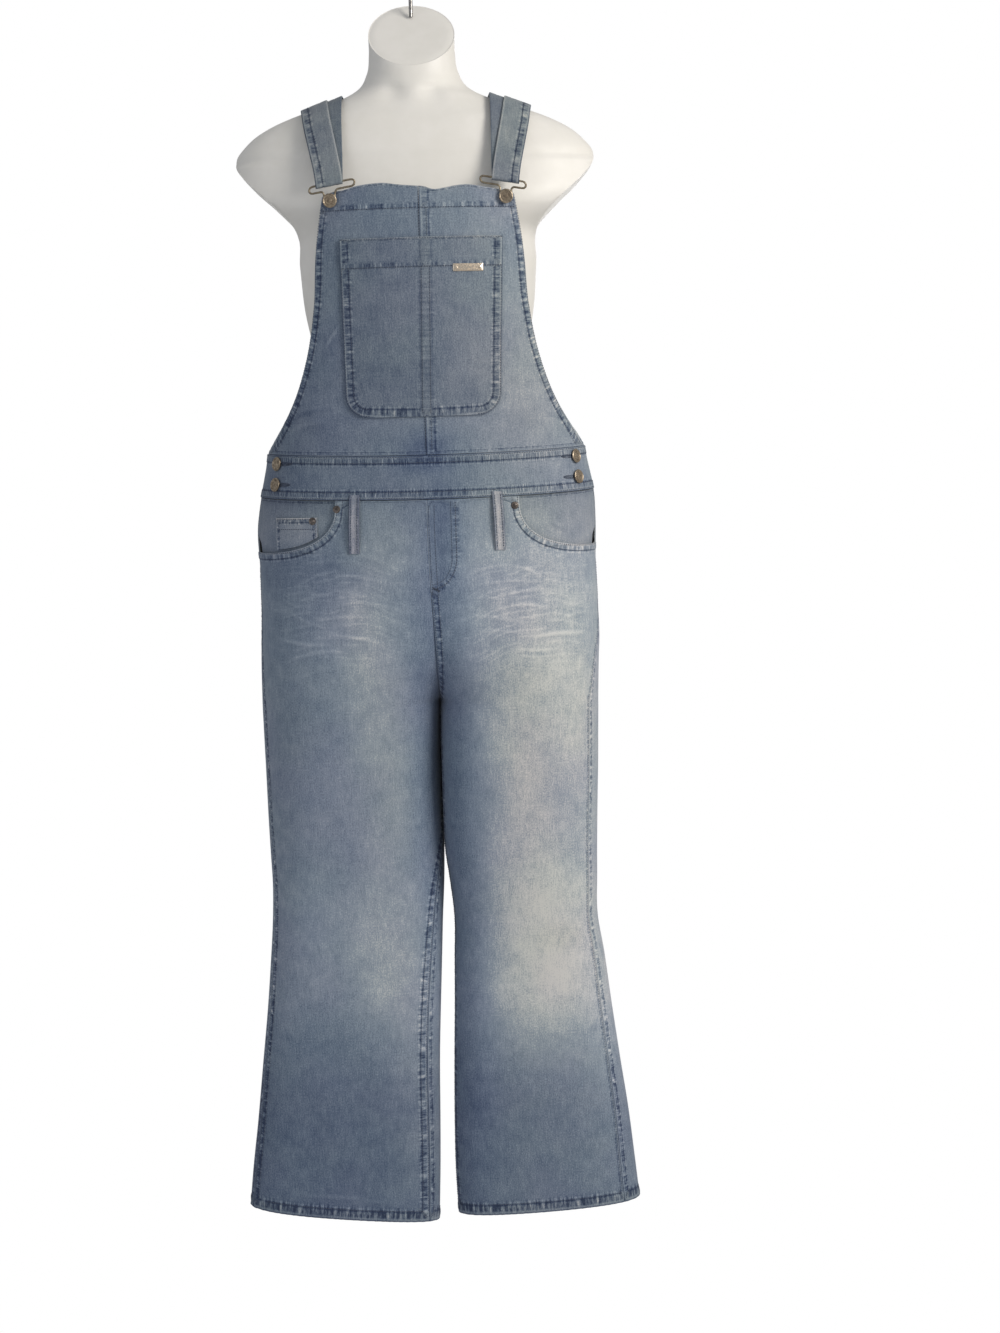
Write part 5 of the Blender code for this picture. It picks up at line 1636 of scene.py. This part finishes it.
for name, node, x, z, lift in (("copper_left", "rivet_left", -105.5, -724.0, 0.0),
                               ("copper_right", "rivet_right", 108.0, -725.0, 0.0),
                               ("copper_coin", "rivet_coin", -135.5, -737.5, COIN_OUT)):
    side = 1 if x > 0 else -1
    t = turn_at(side, x, z)
    base, axis = garment(side, t, z), garment_normal(side, t, z)
    piece = lathe(name, base + axis * (lift + 0.3), axis, RIVET_PROFILE, rivet_metal, sides=36)
    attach(piece, "root")
    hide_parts(node)
print("buttons and rivets done")

# %% Pocket plate
PLATE_X, PLATE_Z, PLATE_HALF, PLATE_TALL = 59.5, -443.2, 17.5, 4.4
across, up = np.meshgrid(np.linspace(-1.0, 1.0, 44), np.linspace(-1.0, 1.0, 13))
x, z = PLATE_X + PLATE_HALF * across, PLATE_Z + PLATE_TALL * up
t = turn_at(1, x, z)
edge = np.minimum(PLATE_HALF * (1 - np.abs(across)), PLATE_TALL * (1 - np.abs(up)))
dots = sum(np.exp(-(((x - c) ** 2 + (z - PLATE_Z) ** 2) / 1.3 ** 2)) for c in (45.6, 73.4))
bevel = 0.35 * np.minimum(edge / 0.7, 1.0) + 0.55 * dots
points, normal = garment(1, t, z), garment_normal(1, t, z)
low = POCKET_OUT + 0.35
piece = make_piece("metal_plate", np.stack([points + normal * (low + 0.65 + bevel)[..., None],
                                            points + normal * low]),
                   shell_faces(*x.shape), plate_metal, sharp=40)
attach(piece, "root")
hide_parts("pocket_plate")
print("plate:", len(piece.data.polygons), "faces")

# %% [markdown]
# ## Stitches
#
# Thread could be bump, but at a seam it stands proud and casts a tiny shadow,
# so each stitch is a slim grain of mesh. A row is a line on the garment, cut
# into equal steps, with a grain at each step that lies along the line and on
# the dressed cloth. All the grains of one region are one joined mesh.


# %% Grains of thread
def grain_grid(centre, along, normal, long, wide, tall):
    """Points and quads of slim diamonds: five rings of four points each."""
    across = np.cross(normal, along)
    place = np.array([-1.0, -0.72, 0.0, 0.72, 1.0])
    size = np.array([0.0, 0.75, 1.0, 0.75, 0.0])
    turn = np.arange(4) * np.pi / 2
    ring = (centre[:, None, None] + along[:, None, None] * (place * long / 2)[None, :, None, None]
            + across[:, None, None] * (wide / 2 * size[:, None] * np.cos(turn))[None, ..., None]
            + normal[:, None, None] * (tall * size[:, None] * np.sin(turn))[None, ..., None])
    quads = grid_faces(5, 4, around=True)
    start = np.arange(len(centre))[:, None, None] * 20
    return ring.reshape(-1, 3), (quads[None] + start).reshape(-1, 4)


def spaced(line, pitch):
    """Places, directions and shares at equal steps of `pitch` along a line."""
    leg = np.linalg.norm(np.diff(line, axis=0), axis=1)
    far = np.concatenate([[0.0], np.cumsum(leg)])
    count = max(int(far[-1] / pitch), 2)
    at = (np.arange(count) + 0.5) * far[-1] / count
    ends = [np.stack([np.interp(at + d, far, line[:, k]) for k in range(3)], axis=1)
            for d in (-0.4, 0.0, 0.4)]
    along = ends[2] - ends[0]
    return ends[1], along / np.linalg.norm(along, axis=1, keepdims=True), at / far[-1]


def square_up(along, where, place, normal):
    """Normals at the places `where` of a row whose points lie at `place`,
    turned square to the row's direction."""
    up = np.stack([np.interp(where, place, normal[:, k]) for k in range(3)], axis=1)
    up -= along * np.sum(up * along, axis=1, keepdims=True)
    return up / np.linalg.norm(up, axis=1, keepdims=True)


STITCHES = {}


def sew(group, cloth, side, t, z, pitch=3.1, long=2.5, wide=0.9, tall=0.30, lift=None):
    """Add a row of stitches along the surface line (side, t, z) to a group.
    The row is raised like the cloth it is sewn on."""
    side, t, z = np.broadcast_arrays(np.asarray(side, float), t, z)
    flat, normal = garment(side, t, z), garment_normal(side, t, z)
    dress = CLOTHS[cloth]
    shift = dress.shift if lift is None else lift
    line = dressed(flat, normal, dress.seams, shift + 0 * t)[0] + normal * 0.10
    centre, along, share = spaced(line, pitch)
    place = np.linspace(0.0, 1.0, len(line))
    leg = np.concatenate([[0.0], np.cumsum(np.linalg.norm(np.diff(line, axis=0), axis=1))])
    where = np.interp(share, leg / leg[-1], place)
    up = square_up(along, where, place, normal)
    STITCHES.setdefault(group, []).append(grain_grid(centre, along, up, long, wide, tall))


def sew_front(group, cloth, x, z, **extra):
    """A row of stitches through front points given by x and z."""
    x, z = np.broadcast_arrays(np.asarray(x, float), np.asarray(z, float))
    side = side_of(x)
    sew(group, cloth, side, turn_at(side, x, z), z, **extra)


def beside(x, z, distance):
    """The line `distance` to the left of the line (x, z), seen in plan."""
    dx, dz = np.gradient(x), np.gradient(z)
    long = np.hypot(dx, dz)
    return x - dz / long * distance, z + dx / long * distance


def bar_tack(group, cloth, x, z, dx, dz, high=2.0, close=0.55):
    """A bar of close stitches, each `high` long and square to the bar, from
    (x, z) to (x + dx, z + dz)."""
    long = math.hypot(dx, dz)
    px, pz = -dz / long * high / 2, dx / long * high / 2
    for share in np.linspace(0.0, 1.0, max(int(long / close), 4)):
        cx, cz = x + dx * share, z + dz * share
        sew_front(group, cloth, np.linspace(cx - px, cx + px, 3), np.linspace(cz - pz, cz + pz, 3),
                  pitch=high * 0.75, long=high * 0.9, wide=0.6, tall=0.32)


print("a stitch has", len(grid_faces(5, 4, around=True)), "faces")

# %% Rows on the bib and its pocket
BOLD = 1.4                 # width of the thicker thread on hems and fly
rows = np.linspace(-655.0, -357.0, 90)
for word, x0, x1 in (("left", -110.0, 1.0), ("right", 3.5, 117.0)):
    sew_front("stitch_bib", f"bib_half_{word}", np.linspace(x0, x1, 60), HEM_STITCH_Z,
              lift=0.35, wide=BOLD)
for side, word in SIDES:
    for away in (1.7, 8.2):
        sew_front("stitch_bib", f"bib_half_{word}", bib_edge_x(side, rows) - side * away, rows)
for x, low, high in ((3.6, -405.0, -352.0), (12.6, -405.0, -352.0),
                     (3.6, -655.0, -618.0), (11.0, -655.0, -618.0)):
    sew_front("stitch_bib", "bib_half_right", x, np.linspace(low, high, 40))
for away in (1.6, 10.0):
    x, z = beside(around_x[1:-1], around_z[1:-1], away)
    sew_front("stitch_pocket", "pocket_bib", x, z)
sew_front("stitch_pocket", "pocket_bib", np.linspace(-88.0, 99.5, 90), POCKET_STITCH_Z,
          lift=2.1, wide=BOLD)
sew_front("stitch_pocket", "pocket_bib", np.linspace(-89.5, 101.0, 90), POCKET_TOP - 1.6, lift=2.4)
strip_level = np.linspace(-613.0, -409.0, 60)
for off in (-4.8, 4.8):
    sew_front("stitch_pocket", "pocket_bib", strip_x(strip_level) + off, strip_level)
print("bib rows:", {k: len(v) for k, v in STITCHES.items()})

# %% Rows on the waistband
for side in (-1, 1):
    for turns, cloth in ((np.linspace(0.004, 0.498, 120), "band_front"),
                         (np.linspace(0.502, 0.996, 120), "band_back")):
        for level in (BAND_TOP - 2.0, BAND_TOP - 9.0, BAND_LOW + 2.2, BAND_LOW + 9.2):
            sew("stitch_band", cloth, side, turns, level - dip(turns))
    for _, out, z in SIDE_BUTTONS:
        turn = np.linspace(0.0, 2 * np.pi, 40)
        x = CENTRE_X + side * (out - 8.0 + 9.5 * np.cos(turn))
        for tall in (0.7, 1.9):
            sew_front("stitch_band", "band_front", x, z + tall * np.sin(turn),
                      pitch=1.0, long=1.3, wide=0.9, tall=0.45)
print("waistband rows:", len(STITCHES["stitch_band"]))

# %% Rows on the legs
for side, word in SIDES:
    front, back, group = f"leg_front_{word}", f"leg_back_{word}", f"stitch_leg_{word}"
    rows = np.linspace(HIP_Z, -1604.0, 320)
    out_t, in_t = seam_turns(side, rows)
    lean_z = lean_to_hem(side, out_t, rows)
    sew(group, front, side, inset(side, out_t, lean_z, -1.8), lean_z)
    if side < 0:
        sew(group, front, side, inset(side, out_t, lean_z, -7.5), lean_z)
    below = rows < THIGH_Z
    in_z, in_t = lean_to_hem(side, 0.0, rows[below]), in_t[below]
    for away in (2.0, 9.0):
        sew(group, front, side, inset(side, in_t, in_z, away), in_z)
    hem_z = HEM_EDGE + 1.2
    for cloth, a, b in ((front, 0.10, 0.39), (back, 0.46, 1.04)):
        turns = np.linspace(a if side < 0 or cloth == back else 0.01, b, 160)
        sew(group, cloth, side, turns, lean_to_hem(side, turns, hem_z), lift=0.1)
    rise = np.linspace(-722.0, -960.0, 90)
    mouth_x, mouth_z, step = mouth_curve(side, np.linspace(0.0, 1.0, 90) ** 1.4)
    mouth_z = mouth_z - dip(turn_at(side, mouth_x, mouth_z)) * (1 - step)
    for away in (2.0, 8.5):
        if side > 0:
            sew(group, front, side, inset(side, 0.0, rise, away), rise)
        sew(group, back, side, inset(side, 1.0, rise, -away), rise)
        x, z = beside(mouth_x, mouth_z, -side * away)
        keep = np.abs(x - CENTRE_X) < np.abs(garment(side, 0.497, z)[:, 0] - CENTRE_X)
        sew_front(group, front, x[keep], z[keep])
for away, wide in ((0.0, BOLD), (-5.5, 0.7)):
    sew_front("stitch_fly", "leg_front_right", *beside(fly_x, fly_z, away), wide=wide)
bar_tack("stitch_fly", "leg_front_right", 7.0, -821.0, 8.0, -4.0)
print("leg rows:", sum(len(v) for v in STITCHES.values()))

# %% Rows on the coin pocket and belt loops
edge_x = np.linspace(-181.0, -131.5, 30)
for z in (-735.0, -747.0):
    sew_front("stitch_small", "pocket_coin", edge_x, z)
sew_front("stitch_small", "pocket_coin", -132.3, np.linspace(-734.5, -764.0, 30))
for side, word in SIDES:
    for where, sign in (("front", 1), ("back", -1)):
        cloth = f"loop_{where}_{word}"
        share = np.linspace(0.05, 0.95, 40)
        middle, level, arch = loop_middle(side, share)
        for off in (-3.6, 3.6):
            t = turn_at(side, middle + off, level)
            sew("stitch_small", cloth, side, t if sign > 0 else 1 - t, level, lift=arch + 0.3)


STRAP_ROW = 7.5            # the row's distance outwards from a strap's middle


def strap_stitches(side, word):
    """A row on each layer of a strap, on the face that looks outwards: the
    normals follow the fold round the bar, so they turn over there."""
    points, normal = (grid[:, 0] for grid in strap_grid(side, np.array([STRAP_ROW])))
    fold = int(np.argmin(np.abs(STRAP_MIDDLE[:, 2] - (BAR[1] - WIRE))))
    for part, sign in ((slice(2, fold - 8), 1.0), (slice(fold + 8, -2), -1.0)):
        out = sign * np.sign(normal[100, 2]) * normal[part]
        face = points[part] + out * (STRAP_PLY / 2 + 0.05)
        centre, along, share = spaced(face, 3.1)
        up = square_up(along, share, np.linspace(0.0, 1.0, len(face)), out)
        STITCHES.setdefault(f"stitch_strap_{word}", []).append(
            grain_grid(centre, along, up, 2.5, 0.9, 0.30))


for side, word in SIDES:
    strap_stitches(side, word)


def join_stitches():
    """One mesh for each region's stitches."""
    made = []
    for group, rows in STITCHES.items():
        points = np.concatenate([p for p, _ in rows])
        start = np.cumsum([0] + [len(p) for p, _ in rows[:-1]])
        quads = np.concatenate([q + s for (_, q), s in zip(rows, start)])
        piece = closed(make_piece(group, points, quads, thread_dark), 0.002)
        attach(piece, "root")
        made.append(piece)
    return made


stitch_pieces = join_stitches()
print("stitches:", {p.name: len(p.data.polygons) for p in stitch_pieces})

# %% [markdown]
# ## Slots and finishes
#
# Each piece already holds its material in a slot, and the denim finishes
# share one group, so that a user can recolour all the denim at once. Here
# each material is paired with its finish, and every piece that wears one is
# printed with its face count.

# %% Slots and finishes
FINISHES = {"denim": "denim", "denim band": "denim_band", "denim strap": "denim_strap",
            "denim pocket": "denim_pocket", "denim loop": "denim_loop",
            "antique brass": "antique_brass", "button metal": "antique_brass",
            "dark rivet metal": "rivet_metal", "plain plate metal": "plate_metal",
            "dark seam thread": "denim", "form white": "form_white", "hook steel": "hook_steel"}
for piece in list(bpy.context.scene.collection.all_objects):
    if piece.type == "MESH" and piece.data.materials and piece.data.materials[0].name in FINISHES:
        print(f"{piece.name:24s} {piece.data.materials[0].name:18s} {len(piece.data.polygons)}")

# %% [markdown]
# ## Stage, light and camera
#
# The object hangs in a white studio over a pale floor. A wall behind it would
# hide the back in a view from there, so the room itself is white to the eye
# and softer as a light. A large warm light stands to the right in front, a
# cool one fills from the left, and a third lights the back.


# %% Stage
def white_to_the_eye(tree, plain, kind, output):
    """Give `output` plain white where the camera looks straight at it, and
    the shader `plain` for every other ray."""
    seen = add_node(tree, "ShaderNodeLightPath").outputs["Is Camera Ray"]
    white = add_node(tree, kind, {"Color": (1.0, 1.0, 1.0, 1.0), "Strength": 1.0})
    either = add_node(tree, "ShaderNodeMixShader",
                      {0: seen, 1: plain.outputs[0], 2: white.outputs[0]})
    tree.links.new(either.outputs[0], tree.nodes[output].inputs[0])


FLOOR_Z, FLOOR_REACH = -2100.0, 9000.0
floor_turn = np.linspace(0.0, 2 * np.pi, 49)
floor_out = np.linspace(1.0, 0.0, 6)[:, None] * FLOOR_REACH
floor_top = np.stack([floor_out * np.cos(floor_turn), floor_out * np.sin(floor_turn),
                      FLOOR_Z + 0 * floor_out * floor_turn], axis=-1)
floor_low = floor_top[::-1] - np.array([0.0, 0.0, 20.0])
paper, paper_tree, paper_shader = plain_material("pale floor paper", 0.9)
paper_shader.inputs["Base Color"].default_value = (0.6, 0.6, 0.6, 1.0)
white_to_the_eye(paper_tree, paper_shader, "ShaderNodeEmission", "Material Output")
disc = np.concatenate([floor_low, floor_top])
pale_floor = make_piece("pale_floor", disc, grid_faces(*disc.shape[:2]), paper)


def lamp(name, place, aim, size, power, colour):
    """A soft square light that faces a point."""
    light = bpy.data.lights.new(name, "AREA")
    light.shape, light.size, light.size_y = "RECTANGLE", size, size * 1.3
    light.energy, light.color = power, colour
    made = bpy.data.objects.new(name, light)
    bpy.context.scene.collection.objects.link(made)
    made.location = place
    made.rotation_euler = (Vector(aim) - Vector(place)).to_track_quat("-Z", "Y").to_euler()
    return made


lamp("key", (2.5, -2.0, 0.6), (0.0, 0.0, -0.8), 1.5, 90.0, (1.0, 0.95, 0.88))
lamp("fill", (-2.2, -2.6, -0.9), (0.0, 0.0, -0.9), 2.0, 14.0, (0.90, 0.94, 1.0))
lamp("rear", (0.3, 3.4, -0.6), (0.0, 0.0, -0.9), 2.0, 34.0, (1.0, 0.98, 0.95))
world = bpy.data.worlds.new("white room")
bpy.context.scene.world = world
world.use_nodes = True
room = world.node_tree
dim = room.nodes["Background"]
dim.inputs["Color"].default_value = (0.96, 0.97, 1.0, 1.0)
dim.inputs["Strength"].default_value = 0.43
white_to_the_eye(room, dim, "ShaderNodeBackground", "World Output")
print("floor at", FLOOR_Z, "mm,", len(bpy.data.lights), "lamps")

# %% Camera
EYE, AIM, ROLL = Vector((0.040, -2.850, -0.650)), Vector((0.0864, 0.0, -0.9282)), 0.028
ahead = (AIM - EYE).normalized()
flat_right = ahead.cross(Vector((0.0, 0.0, 1.0))).normalized()
flat_up = flat_right.cross(ahead)
right = flat_right * math.cos(ROLL) - flat_up * math.sin(ROLL)
up = flat_up * math.cos(ROLL) + flat_right * math.sin(ROLL)
turn = Matrix((right, up, -ahead)).transposed()
lens = bpy.data.cameras.new("camera")
lens.sensor_width, lens.lens = 36.0, 36.0 * (AIM - EYE).length / 1.66625
lens.clip_end = 30.0
camera = bpy.data.objects.new("camera", lens)
bpy.context.scene.collection.objects.link(camera)
camera.matrix_world = Matrix.Translation(EYE) @ turn.to_4x4()
bpy.context.scene.camera = camera
bpy.context.scene.view_settings.view_transform = "Standard"
print("lens:", round(lens.lens, 1), "mm")

# %% End of the scene
print("scene ready")
